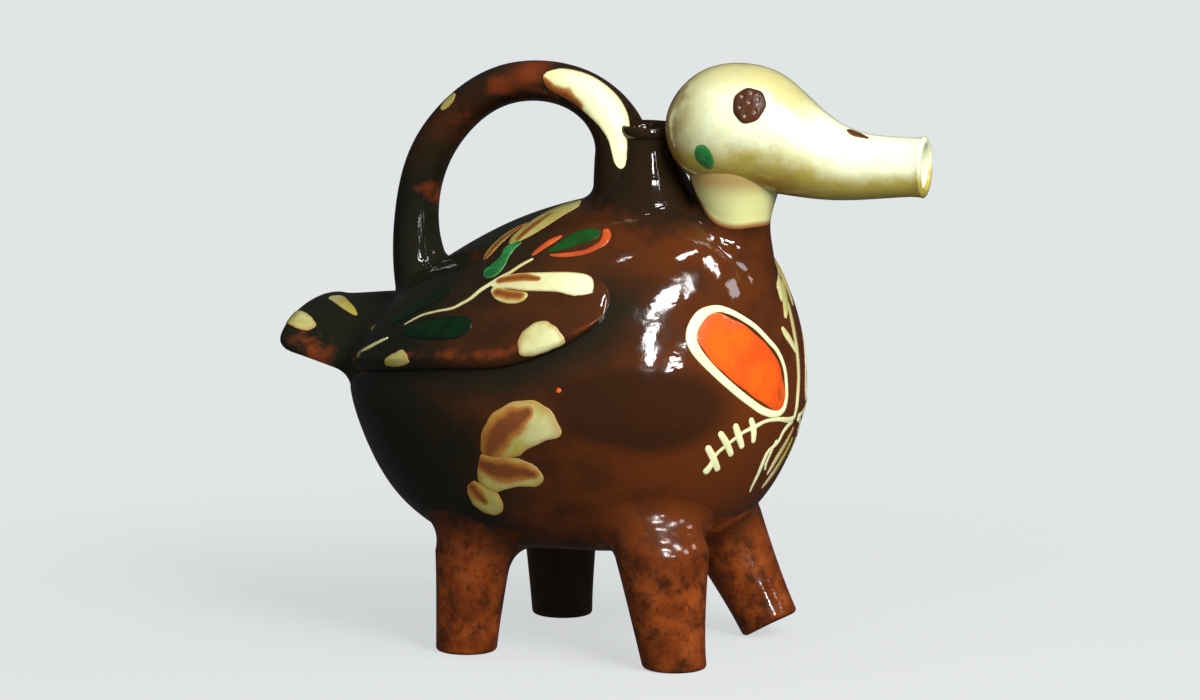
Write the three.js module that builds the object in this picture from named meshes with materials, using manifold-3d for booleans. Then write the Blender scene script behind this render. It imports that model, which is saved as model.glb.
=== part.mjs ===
// A wedding jug in the shape of a duck: red earthenware under a brown glaze, about 240 mm tall.
//
// The potter makes it from separate pieces of clay and joins them with slip while they are soft.
// The belly is thrown as a closed pot. A filler neck stands on its crown, and a short throat in
// front of the neck carries a hollow head, whose beak is the pouring spout. A pulled handle runs
// from the neck to the back, a pinched tail and two wings are laid on, and four rolled legs
// carry the pot. Each piece here is its own solid, and a thin slip joint parts it from the next.
//
// Millimetres. +X is the way the bird looks, +Z is up, z = 0 is the table, and x = 0 is half way
// between the tip of the tail and the mouth of the beak.
import * as THREE from "three";
import { mergeVertices } from "three/addons/utils/BufferGeometryUtils.js";
import Module from "manifold-3d";

const wasm = await Module();
wasm.setup();

// Clay
const BELLY_WALL = 5.5;
const NECK_WALL = 4;
const THROAT_WALL = 4;
const HEAD_WALL = 4;
const SLIP_JOINT = 0.3; // slip between two joined pieces

// Belly, a thrown pot pushed out into a long breast and a sloping back
const BREAST_X = 80.7;
const RUMP_X = -107.6;
const BELLY_HALF_WIDTH = 78;
const BELLY_Z = 100; // height of the widest ring
const UNDERSIDE_Z = 41;
const CROWN_X = 22.5;
const CROWN_Z = 184;
const BREAST_FULLNESS = 2.35; // 2 is an ellipse, more is squarer
const BACK_FULLNESS = 1.74;
const BASE_FULLNESS = 5;
const BOWL_TAPER = 0.25; // share by which the bowl draws in towards its base
const BOWL_CURVE = 1.4;
const ROOT_DEPTH = 9.5; // how far below the crown the neck and the handle are cut to the belly

// Filler neck
const NECK_X = 18;
const NECK_RADIUS = 11.2;
const NECK_SPREAD = 9; // how far its foot spreads onto the crown
const RIM_Z = 212;
const RIM_ROLL = 1.4; // how far the rolled rim stands out
const RIM_HEIGHT = 4.5;

// Throat
const THROAT_X = 56.7;
const THROAT_RADIUS = 13.8; // at its waist
const THROAT_FOOT_Z = 155;
const THROAT_WAIST = 0.535; // place of its waist, as a share of the way from its foot to the head
const THROAT_FOOT_SPREAD = 1.6;
const THROAT_TOP_SPREAD = 3.4;

// Head, a small bottle laid on its side, with its neck as the beak
const HEAD_X = 57.3;
const HEAD_Z = 212.3;
const HEAD_TURN = 0.17; // to its left, in radians
const HEAD_BACK = 29.1; // from its middle to its back
const HEAD_FRONT = 34.8; // how far the round of the head reaches along the beak
const HEAD_FULLNESS = 2.55;
const HEAD_HALF_HEIGHT = 25.8;
const HEAD_HALF_WIDTH = 24;
const BEAK_LENGTH = 77.6; // from the middle of the head to the mouth
const BEAK_DROP = 15.3; // how far the root of the beak lies below the middle of the head
const MOUTH_LIFT = 1.7; // how much higher the mouth lies than the root
const BEAK_ROOT_RADIUS = 15;
const MOUTH_RADIUS = 11.5;
const LIP_FLARE = 0.9;
const LIP_LENGTH = 7;
const LIP_ROUND = 0.9;

// Eyes, pressed pellets of clay
const EYE_FORWARD = 9.7; // from the middle of the head
const EYE_LIFT = 11.5;
const EYE_RADIUS = 6.8;
const EYE_HEIGHT = 1.5;

// Handle
const HANDLE_THICKNESS = 16.2;
const HANDLE_WIDTH = 21;
const HANDLE_FOOT_X = -75;
const HANDLE_REAR_X = -86;
const HANDLE_TOP_X = -29;
const HANDLE_TOP_Z = 226.2; // middle of the handle at its highest point
const HANDLE_REAR_Z = 163; // where the rear of the bow turns down
const HANDLE_ROOT_DROP = 36; // how far below that its hidden root lies
const HANDLE_FRONT_Z = 198; // where the front of the bow turns down
const HANDLE_SEAT = 0.5; // how far the middle of the handle lies inside the wall of the neck
const HANDLE_FLARE = 0.6; // extra size at each end, as a share
const HANDLE_REAR_FLARE_LENGTH = 28;
const HANDLE_FRONT_FLARE_LENGTH = 38;

// Tail, a pinched fan
const TAIL_TIP_X = -139.4;
const TAIL_ROOT_X = -89.5;
const TAIL_TIP_Z = 122.8;
const TAIL_ROOT_Z = 109;
const TAIL_HALF_WIDTH = 28;
const TAIL_THICKNESS = 11.5;
const TAIL_ARCH = 22; // how far the root arches up between its edges
const TAIL_ROUNDING = 4; // how far the middle of the end stands out past its corners
const TAIL_CORNER = 0.18; // share of the length over which the corners are rounded
const TAIL_LEAN = 0.19; // rise from the right edge to the left, per millimetre

// Wings, laid round the flanks from the breast to the rump
const WING_FRONT_ANGLE = 68; // degrees round the belly from the breast
const WING_REAR_ANGLE = 157;
const WING_FRONT_Z = 127.5; // lower edge
const WING_REAR_Z = 107;
const WING_DEPTH = 35; // from the lower edge up to where it fades into the back
const WING_THICKNESS = 5.5;
const WING_MARGIN = 0.7; // least thickness at its edges
const WING_FRONT_ROUND = 0.3; // share of its length that each end takes to round off
const WING_REAR_ROUND = 0.15;
const WING_EDGE_ROUND = 0.14; // share of its depth over which the lower edge rounds over

// Legs
const REAR_FOOT_RADIUS = 12.3;
const FRONT_FOOT_RADIUS = 13;
const LEG_ROOT_Z = 66;
const LEG_BEND = 0.7; // share of its height from which a leg turns in under the belly
const REAR_FOOT_X = -41.3;
const FRONT_FOOT_X = 51.5;
const FOOT_INSET = 32; // how far the middle of a foot stands inside the belly's widest point
const SPLAYED_FOOT_X = 55.8; // the front left leg is splayed and stands on the edge of its foot
const SPLAYED_FOOT_INSET = 40;
const CUT_BELOW = -4; // a straight leg is rolled this far past the table and cut flat there
const SPLAYED_LIFT = 4.6; // middle of the splayed foot's end above the table

// Glazes and slips
const BROWN_GLAZE = { color: 0x5a2413, roughness: 0.14, metalness: 0 };
const DARK_GLAZE = { color: 0x33180f, roughness: 0.14, metalness: 0 };
const CREAM_GLAZE = { color: 0xd9d795, roughness: 0.18, metalness: 0 };
const THIN_GLAZE = { color: 0x7a3c1c, roughness: 0.25, metalness: 0 };
const STAMPED_CLAY = { color: 0x4a2412, roughness: 0.45, metalness: 0 };

// Sides and steps of the faceted surfaces
const BELLY_SIDES = 44;
const BELLY_STEPS = 11; // each way from the widest ring
const HOLLOW_SIDES = 28; // inside of the belly
const HOLLOW_STEPS = 7;
const TUBE_SIDES = 28; // neck, throat and head
const BORE_SIDES = 32;
const THROAT_STEPS = 8;
const HEAD_BACK_STEPS = 6;
const BEAK_STEPS = 13;
const EYE_SIDES = 24;
const HANDLE_SIDES = 16;
const HANDLE_STEPS = 28;
const TAIL_SIDES = 28;
const WING_SIDES = 24;
const WING_STEPS = 20;
const LEG_SIDES = 24;

const lerp = THREE.MathUtils.lerp;

// Height on a superellipse quarter whose width is 1, for n = fullness.
function quarter(t, fullness) {
  return Math.pow(Math.max(0, 1 - Math.pow(t, fullness)), 1 / fullness);
}

// Steps from 0 to nearly 1 that crowd together at the end.
function crowded(steps) {
  return Array.from({ length: steps }, (_, i) => 1 - Math.pow(1 - i / steps, 2));
}

// Closed surface over a stack of rings of equal counts. The first and last rings are capped flat.
function skin(rings) {
  const around = rings[0].length;
  const points = rings.flat();
  const faces = [];
  for (let i = 0; i < points.length - around; i += 1) {
    const next = i % around === around - 1 ? i - around + 1 : i + 1;
    faces.push(i, next, next + around, i, next + around, i + around);
  }
  const last = points.length - around;
  for (const [start, flip] of [[0, true], [last, false]]) {
    const middle = new THREE.Vector3();
    for (let i = start; i < start + around; i += 1) middle.addScaledVector(points[i], 1 / around);
    const centre = points.push(middle) - 1;
    for (let i = 0; i < around; i += 1) {
      const a = start + i;
      const b = start + ((i + 1) % around);
      faces.push(centre, flip ? b : a, flip ? a : b);
    }
  }
  return new THREE.BufferGeometry().setFromPoints(points).setIndex(faces);
}

function toSolid(geometry) {
  const bare = geometry.clone();
  bare.deleteAttribute("normal");
  bare.deleteAttribute("uv");
  const merged = mergeVertices(bare, 1e-4);
  const corners = merged.index.array;
  const faces = [];
  for (let i = 0; i < corners.length; i += 3) {
    const [a, b, c] = [corners[i], corners[i + 1], corners[i + 2]];
    if (a !== b && b !== c && c !== a) faces.push(a, b, c);
  }
  const vertProperties = merged.attributes.position.array;
  return new wasm.Manifold(new wasm.Mesh({
    numProp: 3,
    vertProperties,
    triVerts: new Uint32Array(faces),
  }));
}

function toMesh(name, solid, glaze) {
  const made = solid.getMesh();
  const geometry = new THREE.BufferGeometry();
  geometry.setAttribute("position", new THREE.BufferAttribute(made.vertProperties, 3));
  geometry.setIndex(new THREE.BufferAttribute(made.triVerts, 1));
  geometry.computeVertexNormals();
  const mesh = new THREE.Mesh(geometry, new THREE.MeshStandardMaterial(glaze));
  mesh.name = name;
  return mesh;
}

// Upright ring of a thrown wall, turned about a vertical axis at x.
function thrown(profile, x, segments) {
  const outline = profile.map(([radius, z]) => new THREE.Vector2(radius, z));
  outline.push(outline[0].clone());
  return new THREE.LatheGeometry(outline, segments).rotateX(Math.PI / 2).translate(x, 0, 0);
}

function drill(radius, x, low, high) {
  const bore = new THREE.CylinderGeometry(radius, radius, high - low, BORE_SIDES);
  return bore.rotateX(Math.PI / 2).translate(x, 0, (low + high) / 2);
}

// Belly

// Reach of the belly at height z: forward, backward and to each side. Grow moves its skin out.
function bellySection(z, grow) {
  if (z >= BELLY_Z) {
    const rise = Math.min(1, (z - BELLY_Z) / (CROWN_Z + grow - BELLY_Z));
    const back = quarter(rise, BACK_FULLNESS);
    return {
      front: lerp(CROWN_X, BREAST_X + grow, quarter(rise, BREAST_FULLNESS)),
      rear: lerp(CROWN_X, RUMP_X - grow, back),
      side: (BELLY_HALF_WIDTH + grow) * back,
    };
  }
  const drop = Math.min(1, (BELLY_Z - z) / (BELLY_Z - UNDERSIDE_Z + grow));
  const draw = (1 - BOWL_TAPER * Math.pow(drop, BOWL_CURVE)) * quarter(drop, BASE_FULLNESS);
  const middle = (BREAST_X + RUMP_X) / 2;
  return {
    front: lerp(middle, BREAST_X + grow, draw),
    rear: lerp(middle, RUMP_X - grow, draw),
    side: (BELLY_HALF_WIDTH + grow) * draw,
  };
}

function bellyRing(z, grow, around) {
  const { front, rear, side } = bellySection(z, grow);
  return Array.from({ length: around }, (_, i) => {
    const turn = (i / around) * 2 * Math.PI;
    const x = (front + rear) / 2 + ((front - rear) / 2) * Math.cos(turn);
    return new THREE.Vector3(x, side * Math.sin(turn), z);
  });
}

function bellyShape(grow, around, steps) {
  const low = UNDERSIDE_Z - grow;
  const high = CROWN_Z + grow;
  const levels = [
    ...crowded(steps).slice(1).reverse().map((t) => lerp(BELLY_Z, low, t)),
    ...crowded(steps).map((t) => lerp(BELLY_Z, high, t)),
  ];
  return skin(levels.map((z) => bellyRing(z, grow, around)));
}

// Filler neck

function neckRadius(z) {
  const down = THREE.MathUtils.clamp((RIM_Z - z) / (RIM_Z - CROWN_Z), 0, 1.1);
  return NECK_RADIUS + NECK_SPREAD * Math.pow(down, 2.2);
}

// Outside of the neck from its hidden foot up to the rolled rim.
function neckOutside(grow) {
  const foot = CROWN_Z - ROOT_DEPTH;
  const roll = RIM_HEIGHT / 2;
  const wall = [0, 0.3, 0.5, 0.68, 0.84, 1].map((t) => {
    const z = lerp(foot, RIM_Z - RIM_HEIGHT, t);
    return [neckRadius(z) + grow, z];
  });
  const rim = [-50, 0, 50, 90].map((angle) => {
    const turn = THREE.MathUtils.degToRad(angle);
    const radius = NECK_RADIUS + RIM_ROLL * Math.cos(turn);
    return [radius + grow, RIM_Z - roll + (roll + grow) * Math.sin(turn)];
  });
  return [...wall, ...rim];
}

function neckShape() {
  const outside = neckOutside(0);
  const inside = outside
    .filter(([, z]) => z <= RIM_Z - RIM_HEIGHT)
    .map(([radius, z]) => [radius - NECK_WALL, z])
    .reverse();
  return thrown([...outside, [NECK_RADIUS - NECK_WALL / 2, RIM_Z], ...inside], NECK_X, TUBE_SIDES);
}

function neckSolid(grow) {
  const outside = neckOutside(grow);
  const [, low] = outside[0];
  const [, high] = outside[outside.length - 1];
  return toSolid(thrown([[0, low], ...outside, [0, high]], NECK_X, TUBE_SIDES));
}

// Throat

function throatRadius(z) {
  const head = HEAD_Z - HEAD_HALF_HEIGHT;
  const waist = lerp(THROAT_FOOT_Z, head, THROAT_WAIST);
  if (z > waist) {
    const up = Math.min(1.2, (z - waist) / (head - waist));
    return THROAT_RADIUS + THROAT_TOP_SPREAD * up * up;
  }
  const down = Math.min(1, (waist - z) / (waist - THROAT_FOOT_Z));
  return THROAT_RADIUS + THROAT_FOOT_SPREAD * down * down * (3 - 2 * down);
}

// Outside of the throat, from inside the breast up to inside the head.
function throatOutside(grow) {
  const high = HEAD_Z - HEAD_HALF_HEIGHT / 2;
  const levels = Array.from({ length: THROAT_STEPS + 1 }, (_, i) => {
    return lerp(THROAT_FOOT_Z, high, i / THROAT_STEPS);
  });
  return [BELLY_Z, ...levels].map((z) => [throatRadius(z) + grow, z]);
}

function throatShape() {
  const outside = throatOutside(0);
  const inside = outside.map(([radius, z]) => [radius - THROAT_WALL, z]).reverse();
  return thrown([...outside, ...inside], THROAT_X, TUBE_SIDES);
}

function throatSolid(grow) {
  const outside = throatOutside(grow);
  const [, low] = outside[0];
  const [, high] = outside[outside.length - 1];
  return toSolid(thrown([[0, low], ...outside, [0, high]], THROAT_X, TUBE_SIDES));
}

// Head. Its own frame has x along the beak and its middle at the origin.

function beakRadius(along) {
  const lip = Math.max(0, 1 - (BEAK_LENGTH - along) / LIP_LENGTH);
  return lerp(BEAK_ROOT_RADIUS, MOUTH_RADIUS, along / BEAK_LENGTH) + LIP_FLARE * lip * lip;
}

// Upright ring of the head's skin, moved out by grow. The round head dies away along the beak.
function headRing(along, grow) {
  const head = Math.exp(-Math.pow(along / HEAD_FRONT, HEAD_FULLNESS));
  const radius = beakRadius(along);
  const middle = lerp(-BEAK_DROP, MOUTH_LIFT - BEAK_DROP, along / BEAK_LENGTH);
  const top = lerp(middle + radius, HEAD_HALF_HEIGHT, head);
  const bottom = lerp(middle - radius, -HEAD_HALF_HEIGHT, head);
  const half = [lerp(radius, HEAD_HALF_WIDTH, head) + grow, (top - bottom) / 2 + grow];
  return upright(along, half, (top + bottom) / 2);
}

function upright(x, [halfWidth, halfHeight], z) {
  return Array.from({ length: TUBE_SIDES }, (_, i) => {
    const turn = (i / TUBE_SIDES) * 2 * Math.PI;
    return new THREE.Vector3(x, halfWidth * Math.cos(turn), z + halfHeight * Math.sin(turn));
  });
}

// Rings from the back of the head to the mouth of the beak.
function headRings(grow, backSteps, frontSteps) {
  const rings = [];
  for (let i = 1; i < backSteps; i += 1) {
    const turn = (i / backSteps) * (Math.PI / 2);
    const half = [HEAD_HALF_WIDTH, HEAD_HALF_HEIGHT].map((size) => (size + grow) * Math.sin(turn));
    rings.push(upright(-(HEAD_BACK + grow) * Math.cos(turn), half, 0));
  }
  for (let i = 0; i <= frontSteps; i += 1) {
    rings.push(headRing((i / frontSteps) * (BEAK_LENGTH - LIP_ROUND), grow));
  }
  return rings;
}

// Hollow head: out along the skin, over the lip of the mouth and back along the inside.
function headShape() {
  const outside = headRings(0, HEAD_BACK_STEPS, BEAK_STEPS);
  const lip = [-LIP_ROUND, LIP_ROUND - HEAD_WALL].map((grow) => headRing(BEAK_LENGTH, grow));
  const inside = headRings(-HEAD_WALL, HEAD_BACK_STEPS - 1, BEAK_STEPS - 4).reverse();
  return skin([...outside, ...lip, ...inside]);
}

function headPlug(grow) {
  const rings = headRings(grow, HEAD_BACK_STEPS, BEAK_STEPS);
  return skin([...rings, headRing(BEAK_LENGTH + grow, grow)]);
}

// Pellet pressed onto the right side of the head: a plug as wide as the eye, between two skins.
function eyePlug() {
  const rise = EYE_LIFT / HEAD_HALF_HEIGHT;
  const forward = EYE_FORWARD / HEAD_FRONT;
  const side = HEAD_HALF_WIDTH * Math.sqrt(1 - rise * rise - forward * forward);
  const place = new THREE.Vector3(EYE_FORWARD, -side, EYE_LIFT);
  const facing = new THREE.Vector3(
    EYE_FORWARD / HEAD_FRONT ** 2,
    -side / HEAD_HALF_WIDTH ** 2,
    EYE_LIFT / HEAD_HALF_HEIGHT ** 2,
  ).normalize();
  const plug = new THREE.CylinderGeometry(EYE_RADIUS, EYE_RADIUS, 4 * EYE_HEIGHT, EYE_SIDES);
  const turn = new THREE.Quaternion().setFromUnitVectors(new THREE.Vector3(0, 1, 0), facing);
  plug.applyQuaternion(turn).translate(place.x, place.y, place.z);
  return plug;
}

// Handle

function handleLine() {
  const front = NECK_X - NECK_RADIUS + HANDLE_SEAT;
  const line = new THREE.Path();
  const turn = HANDLE_REAR_Z - HANDLE_ROOT_DROP / 2;
  line.moveTo(HANDLE_FOOT_X, HANDLE_REAR_Z - HANDLE_ROOT_DROP);
  line.quadraticCurveTo(HANDLE_REAR_X, turn, HANDLE_REAR_X, HANDLE_REAR_Z);
  line.absellipse(
    HANDLE_TOP_X,
    HANDLE_REAR_Z,
    HANDLE_TOP_X - HANDLE_REAR_X,
    HANDLE_TOP_Z - HANDLE_REAR_Z,
    Math.PI,
    Math.PI / 2,
    true,
  );
  line.absellipse(
    HANDLE_TOP_X,
    HANDLE_FRONT_Z,
    front - HANDLE_TOP_X,
    HANDLE_TOP_Z - HANDLE_FRONT_Z,
    Math.PI / 2,
    0,
    true,
  );
  line.lineTo(front, CROWN_Z - ROOT_DEPTH);
  return line;
}

// Pulled strap: an oval section carried along the bow, thicker towards both ends.
function handleShape() {
  const line = handleLine();
  const length = line.getLength();
  const rings = [];
  for (let i = 0; i <= HANDLE_STEPS; i += 1) {
    const along = i / HANDLE_STEPS;
    const place = line.getPointAt(along);
    const ahead = line.getTangentAt(along);
    const fromRear = (along * length) / HANDLE_REAR_FLARE_LENGTH;
    const fromFront = ((1 - along) * length) / HANDLE_FRONT_FLARE_LENGTH;
    const flare = 1 + HANDLE_FLARE * (Math.exp(-(fromRear ** 2)) + Math.exp(-(fromFront ** 2)));
    rings.push(Array.from({ length: HANDLE_SIDES }, (_, j) => {
      const turn = (j / HANDLE_SIDES) * 2 * Math.PI;
      const out = (HANDLE_THICKNESS / 2) * flare * Math.cos(turn);
      const across = (HANDLE_WIDTH / 2) * flare * Math.sin(turn);
      return new THREE.Vector3(place.x - out * ahead.y, across, place.y + out * ahead.x);
    }));
  }
  return skin(rings.reverse());
}

// Tail

// Section of the fan across the bird, at a share of the way from its tip to its root.
function tailRing(share, grow) {
  const x = lerp(TAIL_TIP_X - grow, TAIL_ROOT_X, share);
  const corner = Math.sqrt(1 - Math.pow(1 - Math.min(1, share / TAIL_CORNER), 2));
  const halfWidth = TAIL_HALF_WIDTH * lerp(0.8, 1, corner) + grow;
  const halfThickness = (TAIL_THICKNESS / 2) * lerp(0.6, 1, corner) + grow;
  const edge = lerp(TAIL_TIP_Z, TAIL_ROOT_Z, share);
  const arch = TAIL_ARCH * Math.sqrt(share) * (0.4 + 0.6 * share);
  return Array.from({ length: TAIL_SIDES }, (_, i) => {
    const turn = (i / TAIL_SIDES) * 2 * Math.PI;
    const across = Math.sign(Math.cos(turn)) * Math.pow(Math.abs(Math.cos(turn)), 0.85);
    const up = Math.sign(Math.sin(turn)) * Math.pow(Math.abs(Math.sin(turn)), 0.7);
    const y = halfWidth * across;
    const middle = edge + arch * (1 - across * across) + TAIL_LEAN * y;
    const rounding = TAIL_ROUNDING * (1 - share) * across * across;
    return new THREE.Vector3(x + rounding, y, middle + halfThickness * up);
  });
}

function tailShape(grow) {
  const shares = [0, 0.03, 0.08, 0.15, 0.3, 0.45, 0.6, 0.75, 0.9, 1];
  return skin(shares.map((share) => tailRing(share, grow)));
}

// Wings

// Point on the right side of the belly at a turn from the breast and a height.
function flank(turn, z, grow) {
  const { front, rear, side } = bellySection(z, grow);
  const x = (front + rear) / 2 + ((front - rear) / 2) * Math.cos(turn);
  return new THREE.Vector3(x, -side * Math.sin(turn), z);
}

// Section of the right wing at a share of the way from its front to its rear: thick and round
// along its lower edge, thin where it fades out.
function wingRing(share) {
  const turn = THREE.MathUtils.degToRad(lerp(WING_FRONT_ANGLE, WING_REAR_ANGLE, share));
  const front = Math.max(0, 1 - share / WING_FRONT_ROUND);
  const rear = Math.max(0, 1 - (1 - share) / WING_REAR_ROUND);
  const open = Math.sqrt(1 - Math.pow(0.98 * Math.max(front, rear), 2));
  const middle = lerp(WING_FRONT_Z, WING_REAR_Z, share) + WING_DEPTH / 2;
  return Array.from({ length: WING_SIDES }, (_, i) => {
    const angle = (i / WING_SIDES) * 2 * Math.PI;
    const height = (1 - Math.cos(angle)) / 2;
    const z = middle + (height - 0.5) * WING_DEPTH * open;
    const round = Math.sqrt(Math.min(1, height / WING_EDGE_ROUND));
    const stand = WING_MARGIN + WING_THICKNESS * round * (1 - height) * Math.sqrt(open);
    const inside = i > WING_SIDES / 2;
    return flank(turn, z, inside ? -WING_THICKNESS : SLIP_JOINT + stand);
  });
}

function wingShape() {
  const rings = Array.from({ length: WING_STEPS + 1 }, (_, i) => {
    return wingRing((1 - Math.cos((i / WING_STEPS) * Math.PI)) / 2);
  });
  return skin(rings);
}

// Legs

// Rolled leg from its foot up into the belly, wider towards the root, which turns in.
function legShape({ foot, lean, lift, radius, spread }) {
  const end = new THREE.Vector3(foot[0], foot[1], lift);
  const root = new THREE.Vector3(foot[0] + lean[0], foot[1] + lean[1], LEG_ROOT_Z);
  const axis = root.clone().sub(end).normalize();
  const across = new THREE.Vector3(0, 1, 0).cross(axis).normalize();
  const side = axis.clone().cross(across);
  const shares = [0, 0.15, 0.3, 0.45, 0.6, 0.7, 0.8, 0.9, 1];
  return skin(shares.map((share) => {
    const middle = end.clone().lerp(root, share);
    const reach = radius + spread * Math.pow(share, 1.6);
    const inward = Math.max(0, share - LEG_BEND) / (1 - LEG_BEND);
    return Array.from({ length: LEG_SIDES }, (_, i) => {
      const turn = (i / LEG_SIDES) * 2 * Math.PI;
      const point = middle.clone()
        .addScaledVector(across, reach * Math.cos(turn))
        .addScaledVector(side, reach * Math.sin(turn));
      const hidden = new THREE.Vector3(root.x / 2, root.y / 2, point.z);
      return point.lerp(hidden, 0.4 * inward * inward);
    });
  }));
}

// The same geometry on the other side of the bird.
function mirrored(geometry) {
  const other = geometry.clone().scale(1, -1, 1);
  const corners = other.index.array;
  for (let i = 0; i < corners.length; i += 3) {
    [corners[i + 1], corners[i + 2]] = [corners[i + 2], corners[i + 1]];
  }
  return other;
}

// Assembly

const jug = new THREE.Group();
const headGroup = new THREE.Group();
headGroup.position.set(HEAD_X, 0, HEAD_Z);
headGroup.rotation.z = HEAD_TURN;
headGroup.updateMatrixWorld();
jug.add(headGroup);

const bellyEnvelope = toSolid(bellyShape(SLIP_JOINT, BELLY_SIDES, BELLY_STEPS));
const neckEnvelope = neckSolid(SLIP_JOINT);
const throatEnvelope = throatSolid(SLIP_JOINT);
const tailEnvelope = toSolid(tailShape(SLIP_JOINT));
const headEnvelope = toSolid(headPlug(SLIP_JOINT).applyMatrix4(headGroup.matrixWorld));

const neckBore = drill(NECK_RADIUS - NECK_WALL, NECK_X, BELLY_Z, HANDLE_TOP_Z);
const throatBore = drill(THROAT_RADIUS - THROAT_WALL, THROAT_X, BELLY_Z, HEAD_Z);

const belly = toSolid(bellyShape(0, BELLY_SIDES, BELLY_STEPS))
  .subtract(toSolid(bellyShape(-BELLY_WALL, HOLLOW_SIDES, HOLLOW_STEPS)))
  .subtract(toSolid(neckBore))
  .subtract(toSolid(throatBore));
jug.add(toMesh("belly", belly, BROWN_GLAZE));

const neck = toSolid(neckShape())
  .subtract(bellyEnvelope)
  .subtract(throatEnvelope)
  .subtract(headEnvelope);
jug.add(toMesh("filler_neck", neck, DARK_GLAZE));

const throat = toSolid(throatShape()).subtract(bellyEnvelope).subtract(headEnvelope);
jug.add(toMesh("throat", throat, CREAM_GLAZE));

const intoHead = headGroup.matrixWorld.clone().invert();
const head = toSolid(headShape()).subtract(toSolid(throatBore.applyMatrix4(intoHead)));
headGroup.add(toMesh("head", head, CREAM_GLAZE));

const eyeBed = toSolid(headPlug(SLIP_JOINT));
const eyeFace = toSolid(headPlug(EYE_HEIGHT));
for (const [name, plug] of [["eye_right", eyePlug()], ["eye_left", mirrored(eyePlug())]]) {
  const eye = toSolid(plug).intersect(eyeFace).subtract(eyeBed);
  headGroup.add(toMesh(name, eye, STAMPED_CLAY));
}

const handle = toSolid(handleShape())
  .subtract(bellyEnvelope)
  .subtract(neckEnvelope)
  .subtract(toSolid(neckBore))
  .subtract(tailEnvelope);
jug.add(toMesh("handle", handle, BROWN_GLAZE));

const tail = toSolid(tailShape(0)).subtract(bellyEnvelope);
jug.add(toMesh("tail", tail, BROWN_GLAZE));

for (const [name, shape] of [["wing_right", wingShape()], ["wing_left", mirrored(wingShape())]]) {
  const wing = toSolid(shape).subtract(bellyEnvelope).subtract(tailEnvelope);
  jug.add(toMesh(name, wing, BROWN_GLAZE));
}

const tableSide = 2 * (BREAST_X - RUMP_X);
const table = new THREE.BoxGeometry(tableSide, tableSide, UNDERSIDE_Z);
table.translate(0, 0, -UNDERSIDE_Z / 2);
const footY = BELLY_HALF_WIDTH - FOOT_INSET;
const splayedY = BELLY_HALF_WIDTH - SPLAYED_FOOT_INSET;
const rear = { lift: CUT_BELOW, radius: REAR_FOOT_RADIUS, spread: 6.5 };
const front = { lift: CUT_BELOW, radius: FRONT_FOOT_RADIUS, spread: 10 };
const splayed = { lift: SPLAYED_LIFT, radius: REAR_FOOT_RADIUS, spread: 8 };
const legs = [
  { ...rear, name: "leg_rear_right", foot: [REAR_FOOT_X, -footY], lean: [4, 3] },
  { ...rear, name: "leg_rear_left", foot: [REAR_FOOT_X, footY], lean: [-1, -3] },
  { ...front, name: "leg_front_right", foot: [FRONT_FOOT_X, -footY], lean: [-12, 4] },
  { ...splayed, name: "leg_front_left", foot: [SPLAYED_FOOT_X, splayedY], lean: [-33, -1] },
];
for (const leg of legs) {
  const rolled = toSolid(legShape(leg)).subtract(bellyEnvelope).subtract(toSolid(table));
  jug.add(toMesh(leg.name, rolled, THIN_GLAZE));
}

// The middle of the jug's length is its origin.
const box = new THREE.Box3().setFromObject(jug, true);
jug.position.x = -(box.min.x + box.max.x) / 2;

export default jug;
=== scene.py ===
import math
import bpy
import numpy as np
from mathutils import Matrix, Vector


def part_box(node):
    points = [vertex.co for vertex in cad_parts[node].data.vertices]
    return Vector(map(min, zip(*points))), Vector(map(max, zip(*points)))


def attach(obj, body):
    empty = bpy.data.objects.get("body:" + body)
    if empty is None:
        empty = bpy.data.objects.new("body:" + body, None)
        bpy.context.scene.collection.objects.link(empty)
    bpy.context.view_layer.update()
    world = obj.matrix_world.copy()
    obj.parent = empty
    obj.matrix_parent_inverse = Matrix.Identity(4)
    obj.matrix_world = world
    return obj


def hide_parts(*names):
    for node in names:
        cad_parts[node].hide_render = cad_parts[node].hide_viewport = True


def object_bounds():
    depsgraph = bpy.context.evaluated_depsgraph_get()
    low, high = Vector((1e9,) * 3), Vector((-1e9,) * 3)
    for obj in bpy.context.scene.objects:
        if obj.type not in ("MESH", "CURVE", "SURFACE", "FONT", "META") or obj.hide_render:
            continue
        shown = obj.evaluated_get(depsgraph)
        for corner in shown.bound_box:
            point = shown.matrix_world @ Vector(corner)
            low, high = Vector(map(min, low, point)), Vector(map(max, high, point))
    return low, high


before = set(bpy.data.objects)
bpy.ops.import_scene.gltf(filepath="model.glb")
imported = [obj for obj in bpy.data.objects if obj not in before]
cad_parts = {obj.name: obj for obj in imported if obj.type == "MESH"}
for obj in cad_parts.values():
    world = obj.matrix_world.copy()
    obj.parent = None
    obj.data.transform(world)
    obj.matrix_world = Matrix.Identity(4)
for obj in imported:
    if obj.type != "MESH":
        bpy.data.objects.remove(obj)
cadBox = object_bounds()

# A duck-shaped wine jug of glazed red earthenware. Sizes in the dictionaries are millimetres in
# the potter's drawing. shiftX carries the drawing to the frame, whose x = 0 is half way along.

belly = {
    "breast": 80.7, "rump": -107.6, "halfWidth": 78.0,
    "widest": 100.0, "underside": 41.0, "crown": 184.0, "crownX": 22.5, "shoulder": 0.72,
    "breastFullness": 2.35, "backFullness": 1.74, "baseFullness": 5.0,
    "taper": 0.25, "curve": 1.4, "wall": 5.5, "around": 192,
}
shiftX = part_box("belly")[0][0] * 1000 - belly["rump"]
boxLow, boxHigh = (np.array(corner) * 1000 for corner in cadBox)


# plain helpers, all on whole arrays
def blend(a, b, share):
    return a + (b - a) * share


def ease(share):
    share = np.clip(share, 0, 1)
    return share * share * (3 - 2 * share)


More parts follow.
